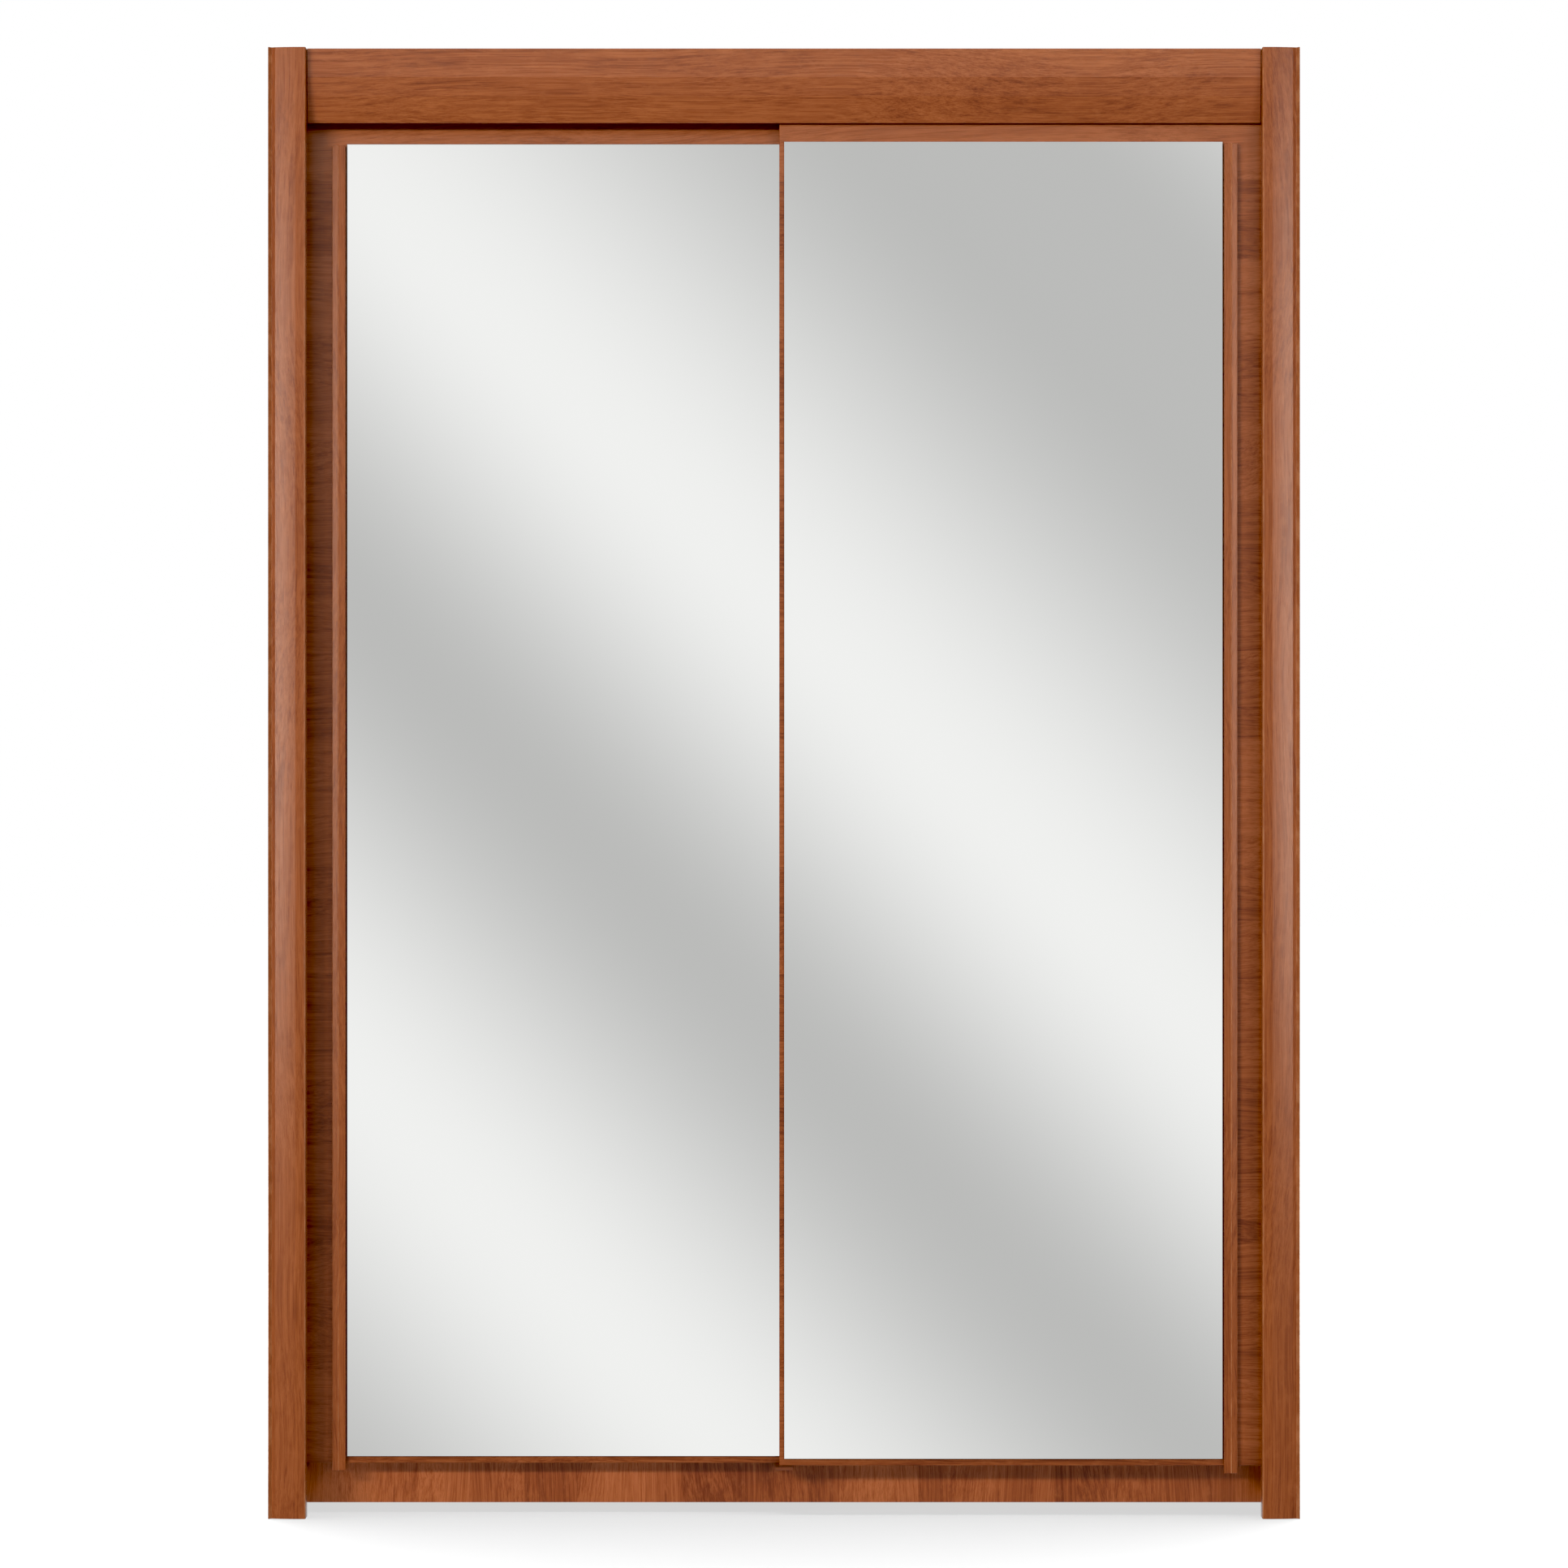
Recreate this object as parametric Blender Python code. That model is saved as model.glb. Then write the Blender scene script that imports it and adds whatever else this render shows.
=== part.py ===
"""A two-door sliding wardrobe with mirrored doors.

A chipboard carcass with two bays stands behind a frame of two posts and a fascia. Both doors hang
on rollers from one double aluminium track under the top panel, the right door in front of the left
one. Metres, +Z up, the front towards -Y, the origin on the floor below the middle of the wardrobe.
"""

import math

import bmesh
import bpy
from mathutils import Vector

# Overall size.
WIDTH = 1.514
HEIGHT = 2.160
DEPTH = 0.650

# Boards, and the gap that pieces keep where they touch.
FIT = 0.0003
BOARD = 0.016
FOOT_GAP = 0.006
BOTTOM_PANEL_HEIGHT = 0.070
TOP_RECESS = 0.024
SIDE_INSET = 0.002

# Front frame: posts and fascia.
POST_WIDTH = 0.055
POST_THICKNESS = 0.028
POST_CROWN = 0.015
POST_FALL = 0.008
POST_ARRIS = 0.003
FASCIA_HEIGHT = 0.108
FASCIA_THICKNESS = 0.021
FASCIA_SETBACK = 0.018
FASCIA_CROWN = 0.042
FASCIA_FALL = 0.012
FASCIA_END_GAP = 0.0006

# Plinth and back.
PLINTH_SETBACK = 0.030
REAR_PLINTH_INSET = 0.040
BACK_THICKNESS = 0.003
BACK_INSET = 0.010
BACK_GROOVE = 0.007
STRIP_FLANGE = 0.011
STRIP_WALL = 0.001

# Doors.
DOOR_THICKNESS = 0.016
DOOR_OVERLAP = 0.014
DOOR_END_GAP = 0.006
DOOR_BOTTOM = 0.073
DOOR_TRACK_GAP = 0.008
RUNNING_GAP = 0.004
TRAVEL_REVEAL = 0.026
MIRROR_THICKNESS = 0.004
MIRROR_EDGE_MARGIN = 0.007
MIRROR_BOTTOM_MARGIN = 0.010
MIRROR_TOP_MARGIN = 0.054
GRIP_WIDTH = 0.0195
GRIP_PROUD = 0.012
GRIP_SHOULDER = 0.010
GRIP_RIDGE = 0.0084
GRIP_RIDGE_FLAT = 0.0012
GRIP_MIRROR_GAP = 0.0015
GRIP_OUTER_MARGIN = 0.065
GRIP_DROP = 0.010
GRIP_TOP_MARGIN = 0.057
GUIDE_GROOVE_WIDTH = 0.006
GUIDE_GROOVE_DEPTH = 0.014

# Track, hangers and wheelsets.
TRACK_HEIGHT = 0.032
TRACK_WALL = 0.002
LANE_WIDTH = 0.028
LANE_PARTITION = 0.004
SLOT_WIDTH = 0.008
HANGER_THICKNESS = 0.003
HANGER_WIDTH = 0.040
HANGER_NECK = 0.020
HANGER_DROP = 0.046
HANGER_SHOULDER = 0.004
HANGER_INSET = 0.075
WHEEL_RADIUS = 0.011
WHEEL_WIDTH = 0.007
WHEEL_GAP = 0.0025
WHEEL_BEVEL = 0.0008
AXLE_RADIUS = 0.002
AXLE_CLEARANCE = 0.0001
AXLE_HEAD_RADIUS = 0.0035
AXLE_HEAD = 0.0012
STOP_LENGTH = 0.030
STOP_CLEARANCE = 0.001
STOP_RISE = 0.006

# Floor guides of the doors.
GUIDE_LENGTH = 0.026
GUIDE_PLATE = 0.004
GUIDE_FIN = 0.004
GUIDE_FIN_ENGAGEMENT = 0.011
GUIDE_NOSE = 0.004

# Inside the bays.
HAT_SPACE = 0.304
SHELF_END_GAP = 0.001
SHELF_FRONT_INSET = 0.020
SHELF_BACK_GAP = 0.002
PIN_RADIUS = 0.0025
PIN_HEAD_RADIUS = 0.0035
PIN_DEPTH = 0.007
PIN_REACH = 0.008
PIN_INSET = 0.060
PIN_PITCH = 0.032
PIN_SPARE_ROWS = 1
RAIL_DROP = 0.060
RAIL_RADIUS = 0.0125
RAIL_WALL = 0.0012
SOCKET_RADIUS = 0.0155
SOCKET_FLANGE_RADIUS = 0.024
SOCKET_FLANGE = 0.003
SOCKET_CUP = 0.010

# Angles behind the frame, and glides.
HOLE_CLEARANCE = 0.0003
BRACKET_WALL = 0.002
BRACKET_LEG = 0.022
POST_ANGLE_MARGIN = 0.060
FASCIA_ANGLE_MARGIN = 0.050
GLIDE_RADIUS = 0.0075
GLIDE_NAIL_RADIUS = 0.0012
GLIDE_NAIL = 0.014
GLIDE_INSET = 0.045

# How finely round shapes are cut.
ARC_STEPS = 6
ROUND_SIDES = 24
SMALL_SIDES = 10

# Places across the width.
outer_x = WIDTH / 2
side_outer_x = outer_x - SIDE_INSET
bay_x = side_outer_x - BOARD
post_inner_x = outer_x - POST_WIDTH
door_end_x = bay_x - DOOR_END_GAP
door_inner_x = DOOR_OVERLAP / 2
grip_outer_x = door_end_x - GRIP_OUTER_MARGIN
grip_inner_x = grip_outer_x - GRIP_WIDTH
mirror_outer_x = grip_inner_x - GRIP_MIRROR_GAP
mirror_inner_x = MIRROR_EDGE_MARGIN - door_inner_x
door_travel = door_end_x - door_inner_x - TRAVEL_REVEAL
outer_hanger_x = door_end_x - HANGER_INSET
inner_hanger_x = HANGER_INSET - door_inner_x

# Places from front to back.
front_y = -DEPTH / 2
post_back_y = front_y + POST_THICKNESS
fascia_front_y = front_y + FASCIA_SETBACK
fascia_back_y = fascia_front_y + FASCIA_THICKNESS
front_door_y = post_back_y + RUNNING_GAP + GRIP_PROUD
lane_pitch = max(DOOR_THICKNESS + RUNNING_GAP + GRIP_PROUD, LANE_WIDTH + LANE_PARTITION)
rear_door_y = front_door_y + lane_pitch
hanger_offset_y = DOOR_THICKNESS + FIT + HANGER_THICKNESS / 2
front_lane_y = front_door_y + hanger_offset_y
rear_lane_y = rear_door_y + hanger_offset_y
track_front_y = front_lane_y - LANE_WIDTH / 2 - TRACK_WALL
track_back_y = rear_lane_y + LANE_WIDTH / 2 + TRACK_WALL
bay_front_y = track_back_y + FIT
plinth_front_y = bay_front_y + PLINTH_SETBACK
back_y = DEPTH / 2
back_panel_y = back_y - BACK_INSET - BACK_THICKNESS
panel_back_y = back_panel_y - FIT
partition_back_y = panel_back_y - STRIP_WALL - FIT
shelf_front_y = bay_front_y + SHELF_FRONT_INSET
shelf_back_y = back_panel_y - SHELF_BACK_GAP
rail_y = (bay_front_y + back_panel_y) / 2

# Heights.
bay_floor_z = BOTTOM_PANEL_HEIGHT + BOARD
top_panel_top_z = HEIGHT - TOP_RECESS
bay_ceiling_z = top_panel_top_z - BOARD
track_top_z = bay_ceiling_z - FIT
track_bottom_z = track_top_z - TRACK_HEIGHT
ledge_z = track_bottom_z + TRACK_WALL
axle_z = ledge_z + FIT + WHEEL_RADIUS
door_top_z = track_bottom_z - DOOR_TRACK_GAP
mirror_bottom_z = DOOR_BOTTOM + MIRROR_BOTTOM_MARGIN
mirror_top_z = door_top_z - MIRROR_TOP_MARGIN
grip_bottom_z = DOOR_BOTTOM - GRIP_DROP
grip_top_z = door_top_z - GRIP_TOP_MARGIN
fascia_bottom_z = HEIGHT - FASCIA_HEIGHT
plinth_top_z = BOTTOM_PANEL_HEIGHT - FIT
shelf_top_z = bay_ceiling_z - HAT_SPACE
shelf_bottom_z = shelf_top_z - BOARD
pin_z = shelf_bottom_z - FIT - PIN_HEAD_RADIUS
rail_z = shelf_bottom_z - RAIL_DROP

SIDES = {"left": -1, "right": 1}


# ---- Materials ----


def material(name, colour, roughness, metallic=0.0):
    finish = bpy.data.materials.new(name)
    finish.use_nodes = True
    finish.diffuse_color = (*colour, 1.0)
    shader = finish.node_tree.nodes["Principled BSDF"]
    shader.inputs["Base Color"].default_value = (*colour, 1.0)
    shader.inputs["Roughness"].default_value = roughness
    shader.inputs["Metallic"].default_value = metallic
    return finish


# ---- Shapes ----


def add_piece(name, bm, finish, parent=None, origin=None):
    """Turns a bmesh in world coordinates into an object with its origin at its middle, or where asked."""
    bmesh.ops.recalc_face_normals(bm, faces=bm.faces)
    if origin is None:
        corners = [vert.co for vert in bm.verts]
        low = Vector([min(point[axis] for point in corners) for axis in range(3)])
        high = Vector([max(point[axis] for point in corners) for axis in range(3)])
        origin = (low + high) / 2
    origin = Vector(origin)
    bmesh.ops.translate(bm, vec=-origin, verts=bm.verts)
    mesh = bpy.data.meshes.new(name)
    bm.to_mesh(mesh)
    bm.free()
    mesh.materials.append(finish)
    mesh.shade_smooth()
    mesh.set_sharp_from_angle(angle=math.radians(30))
    piece = bpy.data.objects.new(name, mesh)
    bpy.context.scene.collection.objects.link(piece)
    piece.parent = parent
    piece.location = origin - parent.location if parent else origin
    return piece


def add_block(bm, low, high):
    """Adds a box between two corners."""
    low, high = Vector(low), Vector(high)
    made = bmesh.ops.create_cube(bm, size=1.0)["verts"]
    bmesh.ops.scale(bm, vec=high - low, verts=made)
    bmesh.ops.translate(bm, vec=(low + high) / 2, verts=made)


def across(axis, first, second, along):
    """A point from its two coordinates across an axis and the one along it."""
    if axis == "X":
        return Vector((along, first, second))
    if axis == "Y":
        return Vector((first, along, second))
    return Vector((first, second, along))


def add_prism(bm, outline, axis, start, end):
    """Adds an outline, drawn across an axis, pulled from start to end along it."""
    face = bm.faces.new([bm.verts.new(across(axis, a, b, start)) for a, b in outline])
    pulled = bmesh.ops.extrude_face_region(bm, geom=[face])["geom"]
    moved = [item for item in pulled if isinstance(item, bmesh.types.BMVert)]
    bmesh.ops.translate(bm, vec=across(axis, 0, 0, end - start), verts=moved)


def add_turned(bm, profile, place, direction, closed=False, sides=SMALL_SIDES):
    """Adds a body turned about a line through place. The profile's (radius, height) pairs rise along
    direction, and a closed profile makes a ring."""
    before = set(bm.verts)
    points = [bm.verts.new((radius, 0.0, height)) for radius, height in profile]
    ends = points[1:] + points[:1] if closed else points[1:]
    edges = [bm.edges.new(pair) for pair in zip(points, ends)]
    bmesh.ops.spin(
        bm,
        geom=points + edges,
        cent=(0.0, 0.0, 0.0),
        axis=(0.0, 0.0, 1.0),
        angle=2 * math.pi,
        steps=sides,
        use_merge=True,
    )
    made = [vert for vert in bm.verts if vert not in before]
    bmesh.ops.remove_doubles(bm, verts=made, dist=1e-6)
    made = [vert for vert in bm.verts if vert not in before]
    turn = Vector((0.0, 0.0, 1.0)).rotation_difference(Vector(direction)).to_matrix()
    bmesh.ops.rotate(bm, cent=(0.0, 0.0, 0.0), matrix=turn, verts=made)
    bmesh.ops.translate(bm, vec=Vector(place), verts=made)


def arc(centre, radius, start, end, steps=ARC_STEPS):
    """Points on an arc between two angles in degrees, both ends included."""
    angles = [math.radians(start + (end - start) * step / steps) for step in range(steps + 1)]
    return [(centre[0] + radius * math.cos(a), centre[1] + radius * math.sin(a)) for a in angles]


def crowned_fall(run, fall):
    """The radius and sweep in degrees of an arc that drops by fall over run from a level start."""
    radius = (run * run + fall * fall) / (2 * fall)
    return radius, math.degrees(math.asin(run / radius))


def board(name, finish, low, high, parent=None):
    bm = bmesh.new()
    add_block(bm, low, high)
    return add_piece(name, bm, finish, parent)


def drill(piece, holes, sides=SMALL_SIDES):
    """Cuts round holes. Each is (mouth, direction, radius, depth) in world coordinates."""
    bm = bmesh.new()
    for mouth, direction, radius, depth in holes:
        direction = Vector(direction)
        overshoot = radius
        middle = Vector(mouth) + direction * (depth - overshoot) / 2
        turn = Vector((0.0, 0.0, 1.0)).rotation_difference(direction).to_matrix().to_4x4()
        turn.translation = middle
        bmesh.ops.create_cone(
            bm,
            cap_ends=True,
            segments=sides,
            radius1=radius,
            radius2=radius,
            depth=depth + overshoot,
            matrix=turn,
        )
    mesh = bpy.data.meshes.new(piece.name + "_holes")
    bm.to_mesh(mesh)
    bm.free()
    cutter = bpy.data.objects.new(mesh.name, mesh)
    bpy.context.scene.collection.objects.link(cutter)
    cutter.parent = piece.parent
    if piece.parent:
        cutter.location = -piece.parent.location
    cutter.hide_render = True
    cutter.display_type = "WIRE"
    cut = piece.modifiers.new("holes", "BOOLEAN")
    cut.operation = "DIFFERENCE"
    cut.solver = "EXACT"
    cut.object = cutter


# ---- Carcass ----


def side_panel(name, side, finish):
    """A side with a groove near its rear edge for the back panel, and holes for pins and glides."""
    inner, outer = side * bay_x, side * side_outer_x
    groove = side * (bay_x + BACK_GROOVE)
    low_y, high_y = back_panel_y - FIT, back_panel_y + BACK_THICKNESS + FIT
    outline = [
        (inner, post_back_y + FIT),
        (outer, post_back_y + FIT),
        (outer, back_y),
        (inner, back_y),
        (inner, high_y),
        (groove, high_y),
        (groove, low_y),
        (inner, low_y),
    ]
    bm = bmesh.new()
    add_prism(bm, outline, "Z", FOOT_GAP, HEIGHT)
    panel = add_piece(name, bm, finish)
    nail = GLIDE_NAIL_RADIUS + HOLE_CLEARANCE
    nails = [((x, y, FOOT_GAP), (0, 0, 1), nail, GLIDE_NAIL + FIT) for x, y in glide_places(side)]
    drill(panel, pin_holes(inner, side) + nails)


def back_joining_strip(finish):
    """An H-section strip that holds the two back panels together behind the partition."""
    front = back_panel_y - FIT
    rear = back_panel_y + BACK_THICKNESS + FIT
    right_half = [
        (STRIP_FLANGE, rear + STRIP_WALL),
        (STRIP_FLANGE, rear),
        (STRIP_WALL, rear),
        (STRIP_WALL, front),
        (STRIP_FLANGE, front),
        (STRIP_FLANGE, front - STRIP_WALL),
    ]
    outline = right_half + [(-x, y) for x, y in reversed(right_half)]
    bm = bmesh.new()
    add_prism(bm, outline, "Z", bay_floor_z + FIT, bay_ceiling_z - FIT)
    add_piece("back_joining_strip", bm, finish)


def back_panels(finish):
    for name, side in SIDES.items():
        near, far = sorted((side * (STRIP_WALL + FIT), side * (bay_x + BACK_GROOVE - FIT)))
        low = (near, back_panel_y, BOTTOM_PANEL_HEIGHT)
        board(f"back_panel_{name}", finish, low, (far, back_panel_y + BACK_THICKNESS, top_panel_top_z))


def plinth(finish):
    """Front and rear boards under the bottom panel, and a rib between them below the partition."""
    half = bay_x - FIT
    front_back_y = plinth_front_y + BOARD
    rear_front_y = panel_back_y - REAR_PLINTH_INSET - BOARD
    rows = {
        "plinth_front": ((-half, plinth_front_y), (half, front_back_y)),
        "plinth_rear": ((-half, rear_front_y), (half, rear_front_y + BOARD)),
        "plinth_rib": ((-BOARD / 2, front_back_y + FIT), (BOARD / 2, rear_front_y - FIT)),
    }
    for name, (low, high) in rows.items():
        board(name, finish, (*low, FOOT_GAP), (*high, plinth_top_z))


def glide_places(side):
    x = side * (side_outer_x - BOARD / 2)
    return [(x, post_back_y + GLIDE_INSET), (x, back_y - GLIDE_INSET)]


def glides(finish):
    """Plastic discs nailed under the side panels."""
    height = FOOT_GAP - FIT
    profile = (
        (0.0, 0.0),
        (GLIDE_RADIUS * 0.85, 0.0),
        (GLIDE_RADIUS, height * 0.3),
        (GLIDE_RADIUS, height),
        (GLIDE_NAIL_RADIUS, height),
        (GLIDE_NAIL_RADIUS, FOOT_GAP + GLIDE_NAIL),
        (0.0, FOOT_GAP + GLIDE_NAIL),
    )
    for name, side in SIDES.items():
        for place, (x, y) in zip(("front", "rear"), glide_places(side)):
            bm = bmesh.new()
            add_turned(bm, profile, (x, y, 0), (0, 0, 1))
            add_piece(f"glide_{name}_{place}", bm, finish)


def carcass(finishes):
    half = bay_x - FIT
    for name, side in SIDES.items():
        side_panel(f"side_panel_{name}", side, finishes["side foil"])
    board(
        "top_panel",
        finishes["inside foil"],
        (-half, fascia_back_y + FIT, bay_ceiling_z),
        (half, panel_back_y, top_panel_top_z),
    )
    board(
        "bottom_panel",
        finishes["inside foil"],
        (-half, bay_front_y, BOTTOM_PANEL_HEIGHT),
        (half, panel_back_y, bay_floor_z),
    )
    partition = board(
        "centre_partition",
        finishes["inside foil"],
        (-BOARD / 2, bay_front_y, bay_floor_z + FIT),
        (BOARD / 2, partition_back_y, bay_ceiling_z - FIT),
    )
    drill(partition, pin_holes(-BOARD / 2, 1) + pin_holes(BOARD / 2, -1))
    plinth(finishes["plinth foil"])
    back_panels(finishes["back board"])
    back_joining_strip(finishes["dark plastic"])
    glides(finishes["dark plastic"])


# ---- Front frame ----


def post(name, side, finish):
    """A post with a flat crown beside the doors that falls away in an arc to the outer edge."""
    radius, sweep = crowned_fall(POST_WIDTH - POST_CROWN, POST_FALL)
    arris_centre = (post_inner_x + POST_ARRIS, front_y + POST_ARRIS)
    outline = arc(arris_centre, POST_ARRIS, 180, 270)
    outline += arc((post_inner_x + POST_CROWN, front_y + radius), radius, 270, 270 + sweep)
    outline += [(outer_x, post_back_y), (post_inner_x, post_back_y)]
    bm = bmesh.new()
    add_prism(bm, [(side * x, y) for x, y in outline], "Z", 0.0, HEIGHT)
    add_piece(name, bm, finish)


def fascia(finish):
    """The board over the doors: a flat upper face, then an arc that falls back to the lower edge."""
    radius, sweep = crowned_fall(FASCIA_HEIGHT - FASCIA_CROWN, FASCIA_FALL)
    outline = [(fascia_back_y, HEIGHT), (fascia_front_y, HEIGHT)]
    outline += arc((fascia_front_y + radius, HEIGHT - FASCIA_CROWN), radius, 180, 180 + sweep)
    outline += [(fascia_back_y, fascia_bottom_z)]
    half = post_inner_x - FASCIA_END_GAP
    bm = bmesh.new()
    add_prism(bm, outline, "X", -half, half)
    add_piece("fascia", bm, finish)


def angle_section(corner, way_across, way_along, leg_along):
    """The outline of an angle from its corner, with one leg each way."""
    x, y = corner
    wall_x, wall_y = x + way_across * BRACKET_WALL, y + way_along * BRACKET_WALL
    toe_x, toe_y = x + way_across * BRACKET_LEG, y + way_along * leg_along
    return [(x, y), (toe_x, y), (toe_x, wall_y), (wall_x, wall_y), (wall_x, toe_y), (x, toe_y)]


def frame_angles(finish):
    """Angles that hold the posts to the side panels and the fascia to the top panel."""
    for name, side in SIDES.items():
        section = angle_section((side * (bay_x - FIT), post_back_y + FIT), -side, 1, BRACKET_LEG)
        bm = bmesh.new()
        add_prism(bm, section, "Z", POST_ANGLE_MARGIN, fascia_bottom_z - FIT)
        add_piece(f"post_angle_{name}", bm, finish)
    corner = (fascia_back_y + FIT, top_panel_top_z + FIT)
    half = post_inner_x - FASCIA_ANGLE_MARGIN
    bm = bmesh.new()
    add_prism(bm, angle_section(corner, 1, 1, TOP_RECESS - 2 * FIT), "X", -half, half)
    add_piece("fascia_angle", bm, finish)


def front_frame(finishes):
    for name, side in SIDES.items():
        post(f"post_{name}", side, finishes["frame foil"])
    fascia(finishes["fascia foil"])
    frame_angles(finishes["zinc steel"])


# ---- Bays ----


def bay_faces():
    """Name, x and way out of each board face that a shelf or a rail ends at."""
    return {
        "left_outer": (-bay_x, 1),
        "left_inner": (-BOARD / 2, -1),
        "right_inner": (BOARD / 2, 1),
        "right_outer": (bay_x, -1),
    }


def bay_ends(side, gap):
    return sorted((side * (BOARD / 2 + gap), side * (bay_x - gap)))


def pin_depths():
    return {"front": shelf_front_y + PIN_INSET, "rear": shelf_back_y - PIN_INSET}


def pin_holes(face_x, inwards):
    """Rows of holes for the shelf pins in one board face, which inwards points into."""
    radius = PIN_RADIUS + HOLE_CLEARANCE
    return [
        ((face_x, y, pin_z + row * PIN_PITCH), (inwards, 0, 0), radius, PIN_DEPTH + FIT)
        for y in pin_depths().values()
        for row in range(-PIN_SPARE_ROWS, PIN_SPARE_ROWS + 1)
    ]


def shelf_pins(finish):
    """Steel pins that stand out of the boards under each end of the hat shelves."""
    profile = (
        (0.0, -PIN_DEPTH),
        (PIN_RADIUS, -PIN_DEPTH),
        (PIN_RADIUS, FIT),
        (PIN_HEAD_RADIUS, FIT),
        (PIN_HEAD_RADIUS, PIN_REACH),
        (0.0, PIN_REACH),
    )
    for face, (x, way) in bay_faces().items():
        for depth, y in pin_depths().items():
            bm = bmesh.new()
            add_turned(bm, profile, (x, y, pin_z), (way, 0, 0))
            add_piece(f"shelf_pin_{face}_{depth}", bm, finish)


def hat_shelves(finish):
    for name, side in SIDES.items():
        near, far = bay_ends(side, SHELF_END_GAP)
        low = (near, shelf_front_y, shelf_bottom_z)
        board(f"hat_shelf_{name}", finish, low, (far, shelf_back_y, shelf_top_z))


def hanging_rails(finish):
    """Round steel tubes whose ends sit in the sockets."""
    bore = RAIL_RADIUS - RAIL_WALL
    for name, side in SIDES.items():
        near, far = bay_ends(side, SOCKET_FLANGE + FIT)
        length = far - near
        profile = ((bore, 0.0), (RAIL_RADIUS, 0.0), (RAIL_RADIUS, length), (bore, length))
        bm = bmesh.new()
        add_turned(bm, profile, (near, rail_y, rail_z), (1, 0, 0), closed=True, sides=ROUND_SIDES)
        add_piece(f"hanging_rail_{name}", bm, finish)


def rail_sockets(finish):
    """Flanged cups on the boards that take the ends of the rails."""
    cup = RAIL_RADIUS + FIT
    profile = (
        (0.0, FIT),
        (SOCKET_FLANGE_RADIUS, FIT),
        (SOCKET_FLANGE_RADIUS, SOCKET_FLANGE),
        (SOCKET_RADIUS, SOCKET_FLANGE),
        (SOCKET_RADIUS, SOCKET_FLANGE + SOCKET_CUP),
        (cup, SOCKET_FLANGE + SOCKET_CUP),
        (cup, SOCKET_FLANGE),
        (0.0, SOCKET_FLANGE),
    )
    for face, (x, way) in bay_faces().items():
        bm = bmesh.new()
        add_turned(bm, profile, (x, rail_y, rail_z), (way, 0, 0), sides=ROUND_SIDES)
        add_piece(f"rail_socket_{face}", bm, finish)


def bays(finishes):
    hat_shelves(finishes["inside foil"])
    shelf_pins(finishes["zinc steel"])
    hanging_rails(finishes["chromed steel"])
    rail_sockets(finishes["chromed steel"])


# ---- Door track and guides ----


def top_track(finish):
    """An extrusion with a C-shaped lane above each door, open downwards through a slot."""
    half_lane, half_slot = LANE_WIDTH / 2, SLOT_WIDTH / 2
    low, high = track_bottom_z, track_top_z
    inner_top = high - TRACK_WALL
    outline = [(track_front_y, low)]
    for lane_y in (front_lane_y, rear_lane_y):
        outline += [
            (lane_y - half_slot, low),
            (lane_y - half_slot, ledge_z),
            (lane_y - half_lane, ledge_z),
            (lane_y - half_lane, inner_top),
            (lane_y + half_lane, inner_top),
            (lane_y + half_lane, ledge_z),
            (lane_y + half_slot, ledge_z),
            (lane_y + half_slot, low),
        ]
    outline += [(track_back_y, low), (track_back_y, high), (track_front_y, high)]
    bm = bmesh.new()
    add_prism(bm, outline, "X", -bay_x + FIT, bay_x - FIT)
    add_piece("top_track", bm, finish)


def track_stops(name, side, lane_y, finish):
    """Blocks in a door's lane where its rollers end their travel, closed and open."""
    half = LANE_WIDTH / 2 - STOP_CLEARANCE
    reach = WHEEL_RADIUS + STOP_CLEARANCE
    ends = {
        "closed": (side * (outer_hanger_x + reach), side),
        "open": (side * (inner_hanger_x - door_travel - reach), -side),
    }
    for end, (near, way) in ends.items():
        low_x, high_x = sorted((near, near + way * STOP_LENGTH))
        low = (low_x, lane_y - half, ledge_z + FIT)
        board(f"{name}_stop_{end}", finish, low, (high_x, lane_y + half, axle_z + STOP_RISE))


def floor_guides(finish):
    """Plates under the bottom panel, each with two fins that stand in the doors' grooves."""
    top = BOTTOM_PANEL_HEIGHT - FIT
    bottom = top - GUIDE_PLATE
    fin_top = DOOR_BOTTOM + GUIDE_FIN_ENGAGEMENT
    half_fin = GUIDE_FIN / 2
    fins = [door_y + DOOR_THICKNESS / 2 for door_y in (front_door_y, rear_door_y)]
    nose, tail = fins[0] - half_fin - GUIDE_NOSE, plinth_front_y - FIT
    outline = [(tail, top), (tail, bottom), (nose, bottom), (nose, top)]
    for fin in fins:
        outline += [
            (fin - half_fin, top),
            (fin - half_fin, fin_top),
            (fin + half_fin, fin_top),
            (fin + half_fin, top),
        ]
    half_length = GUIDE_LENGTH / 2
    end_x = door_end_x - half_length - FIT
    for name, x in (("centre_guide", 0.0), ("end_guide_left", -end_x), ("end_guide_right", end_x)):
        bm = bmesh.new()
        add_prism(bm, outline, "X", x - half_length, x + half_length)
        add_piece(name, bm, finish)


# ---- Doors ----


def door_panel(name, side, door_y, finish, parent):
    """The door board, with the guide groove along its lower edge."""
    middle = door_y + DOOR_THICKNESS / 2
    groove = GUIDE_GROOVE_WIDTH / 2
    groove_top = DOOR_BOTTOM + GUIDE_GROOVE_DEPTH
    outline = [
        (door_y, DOOR_BOTTOM),
        (middle - groove, DOOR_BOTTOM),
        (middle - groove, groove_top),
        (middle + groove, groove_top),
        (middle + groove, DOOR_BOTTOM),
        (door_y + DOOR_THICKNESS, DOOR_BOTTOM),
        (door_y + DOOR_THICKNESS, door_top_z),
        (door_y, door_top_z),
    ]
    bm = bmesh.new()
    add_prism(bm, outline, "X", -side * door_inner_x, side * door_end_x)
    add_piece(f"{name}_panel", bm, finish, parent)


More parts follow.
